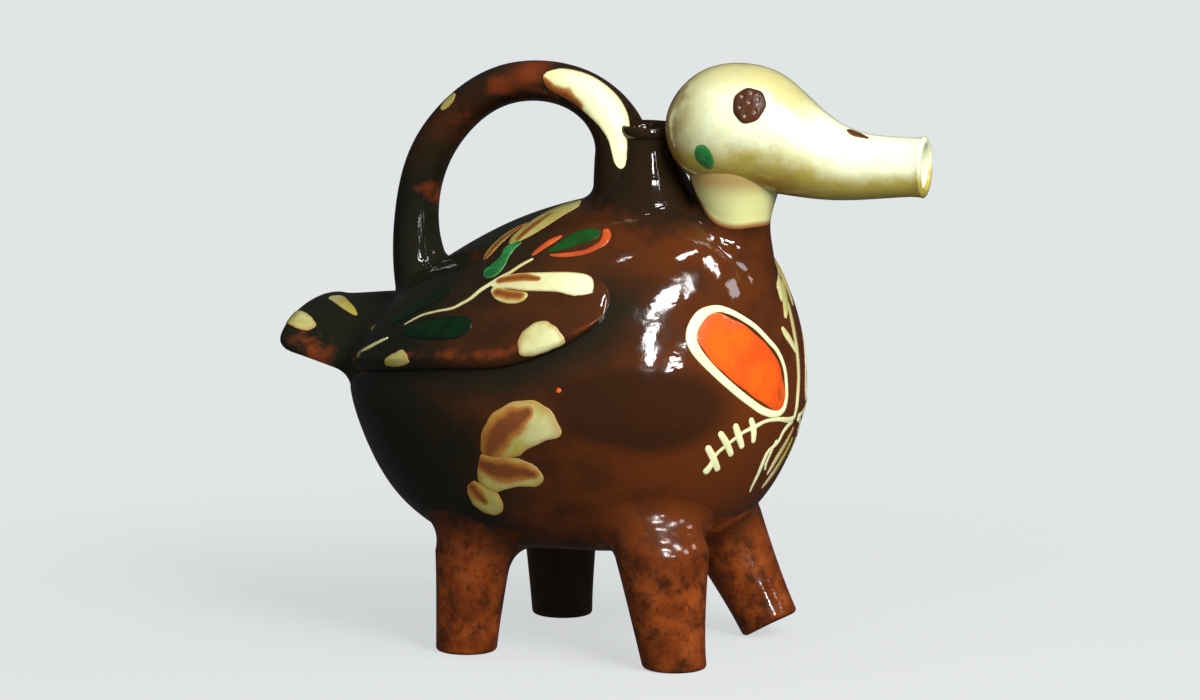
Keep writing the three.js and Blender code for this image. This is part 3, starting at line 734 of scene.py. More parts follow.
# Slip work, trailed and dabbed on the leather-hard clay. Each mark is a low body of slip that lies
# on the surface of its piece. Its values for the material are core, where the slip is thin and
# the brown shows through, pale, how white the slip is, and rim, how near the edge a point lies.
# What a mark doesn't say itself its piece says, and what the piece doesn't say stands here.
slip = {
    "height": 0.38, "sunk": 0.3, "across": 15, "step": 0.6, "rings": 14, "wobble": 0.03,
    "fullWidth": 1.4, "core": (), "pale": (1, 1), "lift": 1.0, "grow": 1.0, "closed": False,
}


# smooth line through knots: Catmull-Rom spline, count places to a stretch
def splineThrough(knots, closed, count=16):
    if closed:
        padded = join(knots[-1:], knots, knots[:2])
    else:
        padded = join(2 * knots[:1] - knots[1:2], knots, 2 * knots[-1:] - knots[-2:-1])
    a, b, c, d = padded[:-3, None], padded[1:-2, None], padded[2:-1, None], padded[3:, None]
    t = np.linspace(0, 1, count, endpoint=False)[None, :, None]
    curve = b + 0.5 * t * (c - a + t * (2 * a - 5 * b + 4 * c - d + t * (3 * (b - c) + d - a)))
    curve = curve.reshape(-1, knots.shape[1])
    return curve if closed else join(curve, knots[-1:])


# places of the line through knots, spread evenly by the length it has on the surface
def evenlyOn(surface, knots, closed):
    curve = splineThrough(knots, closed)
    if closed:
        curve = join(curve, curve[:1])
    place = surface["at"](curve[:, 0], curve[:, 1])
    run = join([0], np.cumsum(np.linalg.norm(np.diff(place, axis=0), axis=1)))
    at = np.linspace(0, run[-1], max(12, int(run[-1] / slip["step"])), endpoint=not closed)
    return np.stack([np.interp(at, run, values) for values in curve.T], axis=1), at, run[-1]


# where the brown shows through: exp(-(distance / radius)^2) from the line through the places
def coreOf(surface, place, knots):
    if not len(knots):
        return np.zeros(place.shape[:-1])
    a, b, radius = knots.T
    line = surface["at"](a, b)
    ahead = np.diff(line, axis=0)
    away = place[..., None, :] - line[:-1]
    share = np.clip((away * ahead).sum(axis=-1) / (ahead ** 2).sum(axis=-1), 0, 1)
    gap = np.linalg.norm(away - share[..., None] * ahead, axis=-1)
    return fading(gap / blend(radius[:-1], radius[1:], share)).max(axis=-1)


# places (a, b) of a surface, and the same lifted by their height along its outward direction
def lifted(surface, a, b, height):
    place = surface["at"](a, b)
    facing = surface["sign"] * unit(np.cross(*slopes(surface["at"], a, b, 0.4)))
    return place, place + facing * height[..., None]


# a mark's values at its places; pale goes by the share from its first number to its second
def valuesOf(surface, mark, place, share, rim):
    values = {"core": coreOf(surface, place, mark["core"]),
              "pale": blend(*mark["pale"], share), "rim": rim}
    return {label: np.broadcast_to(own, place.shape[:-1]) for label, own in values.items()}


# A trailed line with knots (a, b, half width). At each place the step across it is solved from
# the surface's own two directions. Its ends are round: width * sqrt(1 - (1 - run / width)^2).
def trail(surface, mark):
    places, run, length = evenlyOn(surface, mark["knots"], mark["closed"])
    a, b, width = places.T
    line = surface["smooth"](a, b)
    if mark["closed"]:
        ahead = np.roll(line, -1, axis=0) - np.roll(line, 1, axis=0)
    else:
        ahead = np.gradient(line, axis=0)
        left = np.minimum(run, length - run) + 0.05
        width = width * arc(1 - np.minimum(1, left / np.maximum(width, 0.3)))
    along = slopes(surface["smooth"], a, b, 0.5)
    aside = unit(np.cross(surface["sign"] * np.cross(*along), ahead))
    step = np.linalg.pinv(np.stack(along, axis=-1)) @ aside[..., None]
    t = np.sin(np.linspace(-math.pi / 2, math.pi / 2, slip["across"]))
    ring = join(t, t[-2:0:-1])
    a, b = (middle[:, None] + step[:, k] * width[:, None] * ring
            for k, middle in enumerate((a, b)))
    dome = arc(ring) ** 0.8
    full = np.minimum(1, width / slip["fullWidth"])[:, None] * slip["height"] * mark["lift"]
    height = np.where(np.arange(len(ring)) < len(t), dome * full, -slip["sunk"])
    place, grid = lifted(surface, a, b, height)
    return grid, valuesOf(surface, mark, place, (run / length)[:, None], np.abs(ring))


# A dab with a closed outline of knots (a, b): rings from its middle out, and back below them.
# Its height is sqrt(1 - ring^4), and pale runs from its rear to its front.
def dab(surface, mark):
    outline, run, length = evenlyOn(surface, mark["knots"], True)
    middle = outline.mean(axis=0)
    turn = run / length * 2 * math.pi
    ragged = 1 + slip["wobble"] * np.sin(7 * turn + 0.8) * np.sin(3 * turn + middle[1])
    r = np.sin(np.linspace(0.06, 1, slip["rings"]) * math.pi / 2)[:, None]
    rings = join(r, r[::-1])
    a, b = (middle[k] + (outline[:, k] - middle[k]) * ragged * rings for k in (0, 1))
    dome = arc(rings ** 2) * slip["height"] * mark["lift"]
    height = np.where(np.arange(len(rings))[:, None] < len(r), dome, -slip["sunk"])
    place, grid = lifted(surface, a, b, height)
    front = (place[..., 0] - place[..., 0].min()) / np.ptp(place[..., 0])
    return grid, valuesOf(surface, mark, place, front, rings)


# knots as an array, carried further round the bird
def further(knots, by):
    return np.array([(knot[0] + by, *knot[1:]) for knot in knots])


# Puts the marks of a piece, and their mirror images on the other side of the bird. Knots of three
# numbers are trailed, knots of two are the outline of a dab.
def putSlip(name, surface, piece, sides=("right", "left"), by=0.0):
    made = []
    for own in piece["marks"]:
        mark = {**slip, **piece, **own}
        knots, core = further(mark["knots"], by), further(mark["core"], by)
        mark.update(knots=blend(knots.mean(axis=0), knots, mark["grow"]), core=core)
        made.append((trail if knots.shape[1] == 3 else dab)(surface, mark))
    values = {label: [own[label] for _, own in made] for label in ("core", "pale", "rim")}
    for side in sides:
        grids = [mirror(grid) if side == "left" else grid for grid, _ in made]
        suffix = "" if side == "both" else "_" + side
        putPiece(name + suffix, grids, piece["slip"], (), values, piece.get("closed", False))


# Flower on the wing, petals under it and the breast's medallion with its two branches. Places are
# (turn from the breast in degrees, height, half width), and outlines (turn, height).
flank = {"at": flankAt, "smooth": lambda turn, z: bellyAt(np.radians(turn), z), "sign": -1}
flankSlip = {
    "wing_stems": {"slip": "creamSlip", "pale": (0.45, 0.6), "marks": [
        {"knots": ((143.8, 118.2, 0.6), (140.2, 120.2, 1), (136.5, 123.2, 0.9), (133, 126, 0.5))},
        {"knots": ((130.5, 132, 0.35), (128.5, 134.5, 0.5), (126, 137, 0.6), (121.5, 139.2, 0.6),
            (117, 141, 0.7), (115, 143.2, 0.8), (113.5, 145.5, 0.9), (112.8, 148.8, 1),
            (111.2, 151.8, 1), (110, 154, 0.85), (108.2, 156, 0.85), (106.8, 158.8, 0.85),
            (104.8, 161.2, 0.6))},
    ]},
    # lower petal, upper petal, its edge and two dots
    "wing_petals": {"slip": "creamSlip", "marks": [
        {"pale": (0.6, 1.0), "knots": ((111, 151.2, 1.6), (108.2, 152.2, 3), (104.2, 153.2, 3.6),
            (99.2, 153.5, 4.2), (92.5, 153.8, 4.4), (86.5, 153.8, 4.6), (82, 153.2, 5),
            (78.5, 152.5, 4.8), (76, 151.2, 3.2), (74.5, 150.2, 1.2)),
            "core": ((108.8, 152.8, 1.7), (105, 154, 2.2), (101, 154.8, 2.2), (95.5, 154.5, 1.3))},
        {"pale": (0.1, 0.35), "knots": ((125.2, 164.6, 1.8), (127.5, 167.2, 5.2), (130, 169.6, 7),
            (133.6, 172.2, 7.8), (139, 174.8, 8), (145, 176.8, 7.8), (149.5, 178, 6.6),
            (153.5, 179.2, 3)), "core": ((125.2, 166.5, 1.4), (129.2, 169.2, 2.2),
            (132.8, 171.5, 2.4), (139.8, 174.6, 1.4))},
        {"pale": (0.0, 0.0), "lift": 0.5, "knots": ((127, 158.8, 0.8), (131, 161.6, 2.4),
            (137, 165.2, 3), (142.6, 168.4, 2.8), (145.5, 171.5, 1.4)), "core": ((126, 158, 1.4),
            (137, 165.2, 1.9), (147, 172, 1.9))},
        {"pale": (0.35, 0.55), "knots": ((84.2, 140), (80.5, 138.2), (77.8, 135.6), (76.4, 133),
            (76.2, 131.6), (77.8, 130), (80.8, 128), (84.2, 126.8), (86.4, 127.2), (88.2, 130.4),
            (89.2, 134.2), (88.5, 137.5), (86.8, 139.5))},
        {"pale": (0.1, 0.3), "knots": ((123.2, 123.5), (120.2, 122.2), (118.5, 119.2),
            (121, 117.2), (125.4, 116.2), (127.2, 116.4), (127.6, 118.2), (126.6, 120.6),
            (124.8, 122.2))},
    ]},
    "wing_small_petal": {"slip": "creamSlip", "pale": (0.5, 0.3), "marks": [
        {"knots": ((109.2, 150, 1.2), (104.8, 148.5, 2.6), (100.5, 148, 3), (97.2, 148.2, 2.6),
            (95, 149.2, 1.4)), "core": ((105.8, 148.8, 1.9), (101.2, 148.5, 2.6),
            (97.2, 148.5, 2.2))},
    ]},
    "wing_splash": {"slip": "greenSlip", "marks": [
        {"knots": ((120.4, 156, 1.4), (116.6, 155.6, 4), (116.6, 158, 3.6), (119, 161.2, 2.4),
            (122.2, 164, 3.4), (120.6, 165.8, 1.2))},
    ]},
    "wing_bud_leaf": {"slip": "leafSlip", "marks": [
        {"knots": ((102.5, 164, 0.6), (100.2, 165.2, 1.8), (98.2, 167, 3.4), (96.2, 168.8, 4.2),
            (93.2, 170.2, 4.2), (90.8, 171.2, 3.2), (89.5, 172, 1.6))},
    ]},
    "wing_bud": {"slip": "redSlip", "lift": 1.1, "marks": [
        {"knots": ((106.8, 162, 0.8), (106.8, 164.5, 1.4), (106.2, 167, 1.6),
            (104.8, 169.2, 0.7))},
        {"knots": ((99.8, 162.8, 0.5), (95.2, 163, 1), (90.8, 163.5, 1.2), (86.5, 164.5, 1.3),
            (83.8, 166.5, 1.5), (82.5, 168.2, 1.8), (84.2, 170.8, 1.8), (88.5, 173, 1.2))},
    ]},
    "wing_leaves": {"slip": "darkSlip", "lift": 0.5, "marks": [
        {"knots": ((129, 129.8, 1.2), (124, 131.2, 3.2), (118.5, 132.5, 4.6), (113.5, 133.8, 5.2),
            (109.5, 135, 5), (107, 136, 3.4), (105.5, 136.2, 1.2))},
        {"knots": ((139.8, 130.2, 0.8), (135.5, 134.2, 2.4), (132.2, 139, 3.2),
            (128.8, 143.5, 3.2), (126.8, 146.5, 2), (126, 148, 0.8))},
    ]},
    # top, middle and low
    "belly_petals": {"slip": "creamSlip", "marks": [
        {"pale": (0.0, 0.4), "knots": ((94.5, 87.5), (94.2, 92.8), (92.8, 99), (90.8, 104.2),
            (87.2, 107.8), (83.5, 109.2), (79.8, 108.8), (76.8, 106.5), (74.5, 102.2), (73.2, 97),
            (74, 94), (77, 92.8), (79.5, 90.8), (82.5, 88.8), (84.2, 86.8), (87.8, 85.5),
            (92, 85.5)), "core": ((92.2, 88, 5), (90, 94, 6.4), (87.8, 98.2, 6.4),
            (85, 101.5, 5.2), (81.8, 104.6, 2.6))},
        {"pale": (0.1, 0.25), "lift": 0.9, "knots": ((95, 86.2), (96.2, 80.5), (97, 76.2),
            (95.8, 72.2), (93.2, 70.5), (90, 71.8), (87, 73.2), (82.8, 73.5), (80, 73.5),
            (78.5, 76), (78.5, 79.2), (80.5, 82.8), (83.5, 85.2), (87.5, 86), (91.5, 86.2)),
            "core": ((94.6, 82.4, 3.6), (90.8, 80.5, 5), (87.5, 80.2, 5), (83.5, 80, 3.8),
            (80.8, 78.8, 2.2))},
        {"pale": (0.0, 0.25), "lift": 0.8, "knots": ((101.2, 71), (101.2, 67.2), (100.5, 64),
            (98.5, 61.5), (95.8, 60.5), (92.8, 61.2), (90.8, 64.2), (91, 67.5), (91.8, 70.2),
            (94.2, 72), (96.5, 73.8), (98.8, 74.2)), "core": ((99.2, 71.8, 3.4), (97.6, 68.6, 3),
            (96.2, 66.4, 1.6))},
    ]},
    "belly_drop": {"slip": "orangeSlip", "marks": [
        {"knots": ((75.4, 113, 0.5), (75.1, 113, 0.9), (74.8, 113, 1), (74.4, 113, 0.9),
            (74.1, 113, 0.5))},
    ]},
}
for name, piece in flankSlip.items():
    putSlip(name, flank, piece)

# The hidden medallion stands back from the middle of the breast by farShift.
farShift = 14.0
medallion = {
    "breast_oval": {"slip": "creamSlip", "closed": True, "lift": 1.1, "marks": [
        {"knots": ((41, 134.2, 2.4), (40.5, 138.2, 2.4), (38.2, 142.2, 2.3), (35, 144, 1.8),
            (31.2, 144.2, 1.45), (27, 142.5, 1.3), (22.8, 139.8, 1.2), (17, 135.2, 1.15),
            (11.5, 129.2, 1.15), (6.8, 123.8, 1.1), (3.6, 117.2, 1.1), (2.4, 110.5, 1.2),
            (2.2, 104.6, 1.3), (4, 100.4, 1.4), (8.5, 99.2, 1.55), (15, 101.8, 1.7),
            (20.2, 106, 1.7), (24.8, 110.5, 1.7), (29.8, 116.2, 1.7), (34, 121.5, 1.8),
            (37.8, 126.8, 2.1), (40, 130.8, 2.35))},
    ]},
    "breast_fill": {"slip": "orangeSlip", "grow": 1.07, "lift": 0.9, "marks": [
        {"knots": ((38, 134), (36.8, 138.4), (34, 140.6), (30.2, 141), (26, 138.8), (20.2, 134.5),
            (15.5, 129.5), (10.5, 124), (7, 118.2), (5, 111.5), (4.4, 105.8), (5.6, 102.8),
            (8.4, 102.2), (13.2, 104.4), (19.5, 109.3), (24.8, 114.6), (30.2, 120.4), (34, 125.4),
            (36.5, 129.5)), "core": ((6.6, 108.5, 1.6), (6.6, 106, 1.8))},
    ]},
    "breast_bones": {"slip": "creamSlip", "pale": (0.9, 0.95), "marks": [
        {"knots": ((-5, 95, 1.4), (-1.2, 95.2, 1.3), (6.2, 96.8, 0.9), (12.8, 97.2, 0.8),
            (17.2, 96, 1), (22, 94.5, 0.8), (25, 92.5, 0.8), (28, 90, 0.8), (31, 86.8, 0.9),
            (32.2, 82.2, 1.4), (33.8, 79.2, 1.8))},
        {"knots": ((20.2, 99.8, 1.3), (18.2, 94.5, 1.7), (17.2, 88.8, 1.3))},
        {"knots": ((26, 98.5, 1.4), (24, 93.2, 1.7), (21.5, 87.5, 1.3))},
        {"knots": ((31, 96.2, 1.3), (28, 90.8, 1.6), (25.2, 85, 1.3))},
        {"knots": ((34.5, 91, 1.4), (32, 86, 1.6), (29, 79.5, 1.4))},
        {"knots": ((-5, 94, 1.1), (-2, 93, 1.3), (1, 90.5, 1.2), (2.8, 86.8, 1.1),
            (7.8, 83.5, 1.2), (9, 79.5, 1.4), (9.5, 74.5, 1.2), (10, 69.5, 1), (9.5, 66.5, 0.6))},
        {"knots": ((4.2, 88, 0.8), (6.6, 79, 1), (5.4, 75.2, 0.8))},
    ]},
}
for side, by in (("right", 0.0), ("left", farShift)):
    for name, piece in medallion.items():
        putSlip(name, flank, piece, (side,), by)

# On the tail and the handle places are (hundredths of the length, degrees round the section), and
# on the head (distance forward of its middle, degrees round it).
tailSkin = lambda a, b: tailAt(np.maximum(a, 0.5) / 100, np.radians(b))
handleSkin = lambda a, b: handleAt(a / 100, np.radians(b))
headSkin = lambda a, b: intoPlace(headAt(a, np.radians(b)))
surfaces = {"tail_dabs": tailSkin, "handle_patch": handleSkin, "nostril": headSkin,
            "cheek_dab": headSkin}
singleSlip = {
    # stem, twig and the petals at the edge of what the photograph shows
    "breast_midline": {"slip": "creamSlip", "pale": (0.0, 0.55), "lift": 0.9, "marks": [
        {"pale": (0.4, 0.7), "lift": 1.0, "knots": ((-7.5, 142, 1), (-6.4, 134.5, 1.7),
            (-6.4, 124.5, 1.7), (-6.8, 112.2, 1.6), (-6, 102.2, 1.6), (-5, 94.2, 1.3))},
        {"pale": (0.6, 0.6), "lift": 1.0, "knots": ((2.8, 133, 1), (0.6, 130, 1.8),
            (-2.2, 126.5, 1.6), (-5.5, 121.5, 0.8))},
        {"knots": ((-14.5, 168, 0.8), (-10.5, 164, 2.5), (-6.5, 158.5, 2.9), (-3.5, 152, 1.2))},
        {"knots": ((-13, 160, 0.8), (-9.5, 155, 2.6), (-5, 149, 2.9), (-1.8, 142.5, 1.2))},
        {"knots": ((-11, 150, 0.8), (-8.5, 146, 2.4), (-4.5, 141, 2.5), (-1, 136, 1.1))},
        {"knots": ((-16, 166, 0.8), (-18.5, 160, 2.6), (-20, 153, 2.8), (-19.5, 146, 1))},
        {"knots": ((-13.5, 157, 0.8), (-14.5, 151, 2.5), (-14.5, 144.5, 2.5), (-12.5, 139, 1))},
        {"knots": ((-7.5, 91, 0.8), (-4.5, 85, 1.7), (-0.5, 79, 1.9), (2.5, 72.5, 1))},
        {"knots": ((-10.5, 86, 0.8), (-8, 79.5, 1.9), (-4, 73, 2.1), (1, 66.5, 1))},
    ]},
    "tail_dabs": {"slip": "creamSlip", "marks": [
        {"pale": (0.15, 0.4), "knots": ((1.5, 112), (5.1, 104), (18.4, 112.5), (28.4, 121.5),
            (34.9, 129.5), (32.9, 135.5), (25.1, 139.5), (14.9, 137), (5, 128), (2, 120))},
        {"pale": (0.3, 0.0), "lift": 0.8, "knots": ((26, 86, 0.8), (30, 88, 2.2),
            (36.2, 91.5, 2.6), (48.7, 102, 2.2), (59.7, 110.5, 1.6), (67.2, 116, 0.6))},
    ]},
    "handle_patch": {"slip": "creamSlip", "marks": [
        {"pale": (0.8, 1.0), "knots": ((66.6, 62, 2.4), (68.5, 66, 5.2), (71.2, 65, 6.8),
            (74, 62, 7.8), (76.6, 60, 8.2), (79.1, 58, 8.2), (81.3, 58, 7.4), (83.3, 61, 6),
            (85.2, 65, 4.2), (87.1, 68, 3.2), (88.8, 67, 2.6), (90.1, 66, 1.2)),
            "core": ((66.9, 78, 1.6), (69.2, 100, 2.6), (72.1, 103, 3.2), (75.6, 108, 2.6))},
        {"pale": (0.0, 0.1), "knots": ((43.7, 57, 1.2), (45.2, 54, 2.4), (46.6, 49, 2.4),
            (47.6, 46, 1.2))},
    ]},
    "nostril": {"slip": "stainSlip", "marks": [
        {"knots": ((46.2, 74, 1.4), (48, 75, 2.4), (50.4, 73, 2.4), (53.6, 70, 1.2),
            (55.6, 68, 0.7))},
    ]},
    "cheek_dab": {"slip": "greenSlip", "lift": 0.5, "marks": [
        {"knots": ((-11.8, -12), (-8.2, -10), (-5.8, -16), (-4.8, -27), (-6.5, -35), (-9.8, -34),
            (-12.5, -28), (-13, -19))},
    ]},
}
for name, piece in singleSlip.items():
    at = surfaces.get(name)
    putSlip(name, {"at": at, "smooth": at, "sign": 1} if at else flank, piece, ("both",))
print("slip: trailed and dabbed")


# Stage, lamps and camera, in metres
view = {
    "azimuth": 24.97, "elevation": 8.95, "distance": 4.38, "lens": 326.1, "sensor": 36, "far": 50,
    "target": (0.0, 0.0, 0.115), "aside": -0.00155, "above": 0.00338,
}
# Lamps: azimuth, elevation, width, height, power, soft, colour. The small ones stand where the
# window's panes are mirrored in the photograph.
studio = {
    "distance": 2.0, "aim": (0.0, 0.0, 0.12),
    "lamps": {
        "key": (58, 32, 22, 22, 37, True, (1.0, 0.97, 0.93)),
        "fill": (-10, 25, 40, 30, 5, True, (1.0, 0.98, 0.95)),
        "paneColumn": (45, 30, 3.6, 15, 8, False),
        "paneTop": (47, 45, 9, 6, 6, False),
        "paneLow": (57, 22, 5, 4, 2.2, False),
        "paneBits": (58, 44, 2, 8, 1.6, False),
        "paneFar": (86, 48, 5, 14, 5, False),
        "paneFaint": (95, 30, 9, 10, 2.0, False, (0.85, 0.92, 1.0)),
        "panePink": (124, 29, 8, 10, 1.6, False, (1.0, 0.75, 0.68)),
        "overhead": (70, 66, 14, 4, 5, False),
        "overWing": (-12, 76, 2.5, 2, 0.3, False),
    },
}


# direction from the jug at an azimuth from its broadside and an elevation, in degrees
def directionAt(azimuth, elevation):
    a, e = math.radians(azimuth), math.radians(elevation)
    return Vector((math.sin(a) * math.cos(e), -math.cos(a) * math.cos(e), math.sin(e)))


# puts a camera or a lamp at a distance from what it is aimed at
def aimed(name, data, aim, back, distance):
    holder = bpy.data.objects.new(name, data)
    bpy.context.scene.collection.objects.link(holder)
    holder.location = aim + back * distance
    holder.rotation_euler = (-back).to_track_quat("-Z", "Y").to_euler()
    return holder


def addCamera():
    camera = bpy.data.cameras.new("camera")
    camera.lens, camera.sensor_width, camera.clip_end = view["lens"], view["sensor"], view["far"]
    back = directionAt(view["azimuth"], view["elevation"])
    right = directionAt(view["azimuth"] + 90, 0)
    aim = Vector(view["target"]) + right * view["aside"] + back.cross(right) * view["above"]
    bpy.context.scene.camera = aimed("camera", camera, aim, back, view["distance"])


# a lamp seen from the jug at an azimuth and an elevation, with its width and height as angles
# too; soft ones light the clay and aren't mirrored in the glaze
def addLamp(name, azimuth, elevation, wide, tall, power, soft, colour=(1, 1, 1)):
    lamp = bpy.data.lights.new(name, "AREA")
    lamp.shape = "RECTANGLE"
    lamp.size, lamp.size_y = (2 * studio["distance"] * math.tan(math.radians(angle / 2))
                              for angle in (wide, tall))
    lamp.energy, lamp.color = power, colour
    toward = directionAt(azimuth, elevation)
    holder = aimed(name, lamp, Vector(studio["aim"]), toward, studio["distance"])
    holder.visible_glossy = not soft


def addStage():
    floor = bpy.data.objects.new("floor", bpy.data.meshes.new("floor"))
    floor.data.from_pydata([(-9, -9, 0), (9, -9, 0), (9, 9, 0), (-9, 9, 0)], [], [(0, 1, 2, 3)])
    floor.data.materials.append(material("floorPaper"))
    bpy.context.scene.collection.objects.link(floor)


addCamera()
addStage()
for name, settings in studio["lamps"].items():
    addLamp(name, *settings)
bpy.context.scene.view_settings.view_transform = "Standard"


# Materials. All of them are nodes on Object coordinates, whose unit is a metre.

# joins inputs, by name or place, to a node; they are numbers, colours, values or sockets
def fill(node, inputs):
    for label, value in inputs.items():
        value = getattr(value, "socket", value)
        if isinstance(value, bpy.types.NodeSocket):
            node.id_data.links.new(value, node.inputs[label])
        elif node.inputs[label].type == "RGBA":
            node.inputs[label].default_value = (*value, 1.0)
        else:
            node.inputs[label].default_value = value


def put(tree, kind, inputs, **settings):
    node = tree.nodes.new("ShaderNode" + kind)
    for label, value in settings.items():
        setattr(node, label, value)
    fill(node, inputs)
    return node


# a method that joins a value and another, or the other way round, by a Math node
def mathNode(operation, reverse=False):
    def method(self, other):
        inputs = {0: other, 1: self} if reverse else {0: self, 1: other}
        return Value(put(self.tree, "Math", inputs, operation=operation))
    return method


# A value or colour in a tree. Sums with it add Math nodes, so that masks read as formulas.
class Value:
    __add__, __sub__, __mul__, __pow__, atLeast, atMost, isOver = map(
        mathNode, ("ADD", "SUBTRACT", "MULTIPLY", "POWER", "MAXIMUM", "MINIMUM", "GREATER_THAN"))
    __rsub__ = mathNode("SUBTRACT", reverse=True)

    def __init__(self, node, output=0):
        self.tree, self.socket = node.id_data, node.outputs[output]

    # 0 to 1, smoothly, as the value goes from low to high
    def span(self, low, high):
        inputs = {0: self, 1: low, 2: high}
        return Value(put(self.tree, "MapRange", inputs, interpolation_type="SMOOTHSTEP"))

    # the colour between a and b at this value
    def between(self, a, b):
        return Value(put(self.tree, "Mix", {0: self, 6: a, 7: b}, data_type="RGBA"), 2)

    # this colour, gone a share of the way to another
    def toward(self, other, share):
        return Value(put(self.tree, "Mix", {0: share, 6: self, 7: other}, data_type="RGBA"), 2)

    # this vector with another, by an operation
    def vector(self, operation, other=(0, 0, 0), output=0):
        made = put(self.tree, "VectorMath", {0: self, 1: other}, operation=operation)
        return Value(made, output)


def cloud(place, scale, detail=3.0, rough=0.55):
    inputs = {"Vector": place, "Scale": scale, "Detail": detail, "Roughness": rough}
    return Value(put(place.tree, "TexNoise", inputs), "Fac")


# a node group, its inputs as values by their names, and its output node
def openGroup(name, inputs, outputs):
    group = bpy.data.node_groups.new(name, "ShaderNodeTree")
    for label, kind in inputs.items():
        group.interface.new_socket(label, in_out="INPUT", socket_type="NodeSocket" + kind)
    for label, kind in outputs.items():
        group.interface.new_socket(label, in_out="OUTPUT", socket_type="NodeSocket" + kind)
    entry = group.nodes.new("NodeGroupInput")
    given = {label: Value(entry, label) for label in inputs}
    return group, given, group.nodes.new("NodeGroupOutput")


# Pooling: broad clouds, middling mottle and fine specks of the glaze, each a mask from 0 to 1.
# Scale, detail, roughness, and the noise between which the mask goes from 0 to 1.
clouds = {
    "Broad": (16.0, 2.0, 0.55, 0.36, 0.66),
    "Mottle": (70.0, 4.0, 0.62, 0.38, 0.68),
    "Specks": (420.0, 2.0, 0.7, 0.56, 0.72),
}


def makePooling():
    group, given, leave = openGroup("pooling", {"Place": "Vector"}, dict.fromkeys(clouds, "Float"))
    for label, (scale, detail, rough, low, high) in clouds.items():
        fill(leave, {label: cloud(given["Place"], scale, detail, rough).span(low, high)})
    return group


# Skin of glaze over hand-made clay: the potter's rings, run level round the pot, soft waves and
# a fine orange peel, as a normal. The clouds are scale and detail.
skin = {
    "level": (12.0, 12.0, 150.0), "rings": (1.0, 1.5), "waves": (38.0, 1.5), "wavesHigh": 0.5,
    "ripples": (150.0, 1.0), "ripplesHigh": 0.12, "peel": (650.0, 1.0), "rough": 0.4,
    "strength": 0.9, "distance": 0.0012,
}


def makeSkin():
    inputs = {"Place": "Vector", "Rings": "Float", "Peel": "Float"}
    group, given, leave = openGroup("glaze_skin", inputs, {"Normal": "Vector"})
    place = given["Place"]
    level = Value(put(group, "Mapping", {"Vector": place, "Scale": skin["level"]}))
    high = cloud(level, *skin["rings"], skin["rough"]) * given["Rings"]
    high = high + cloud(place, *skin["waves"], skin["rough"]) * skin["wavesHigh"]
    high = high + cloud(place, *skin["ripples"], skin["rough"]) * skin["ripplesHigh"]
    high = high + cloud(place, *skin["peel"], skin["rough"]) * given["Peel"]
    bump = put(group, "Bump", {"Height": high, "Strength": skin["strength"],
                               "Distance": skin["distance"]})
    fill(leave, {"Normal": Value(bump)})
    return group


pooling, glazeSkin = makePooling(), makeSkin()


# What the masks of a material start from: its place on the jug, the clouds of the glaze, and the
# values on its mesh
class Ground:
    def __init__(self, tree):
        self.place = Value(put(tree, "TexCoord", {}), "Object")
        split = put(tree, "SeparateXYZ", {0: self.place})
        self.x, self.y, self.z = (Value(split, axis) for axis in "XYZ")
        masks = put(tree, "Group", {"Place": self.place}, node_tree=pooling)
        self.broad, self.mottle, self.specks = (Value(masks, label) for label in clouds)

    def read(self, name):
        return Value(put(self.place.tree, "Attribute", {}, attribute_name=name), "Fac")


# Brown glaze runs from red-brown where it is thin to a greenish black where it is thick. It is
# painted darker towards the rear as well, partly its own darker tone and partly painted shade on
# the side turned from the lamps.
brown = {
    "red": (0.098, 0.0235, 0.0050), "dark": (0.027, 0.010, 0.0040),
    "deep": (0.0075, 0.0105, 0.0062), "wornAndLitColour": (0.15, 0.030, 0.008),
    "rear": (0.024, -0.052), "above": (0.178, 0.212), "below": (0.125, 0.095),
    "rim": (0.168, 0.186), "ahead": (0.0, 0.06), "bow": (-0.045, -0.010), "wander": 0.035,
    "mottled": 0.42, "clouded": 0.30, "shadeBelow": 0.12, "floorReflectionAhead": -0.45, "lighter": -0.6,
    "green": 0.96, "greenFrom": 0.55, "darkened": 0.92, "wornAndLit": (0.05, 0.5), "wornAndLitPatchy": -0.45,
    "shadeAt": (0.043, -0.064, 0.106), "shadeSize": (26.0, 26.0, 56.0), "shadeEdge": (1.15, 0.65),
    "shadeWander": 8.0, "shadeShare": 0.9,
}


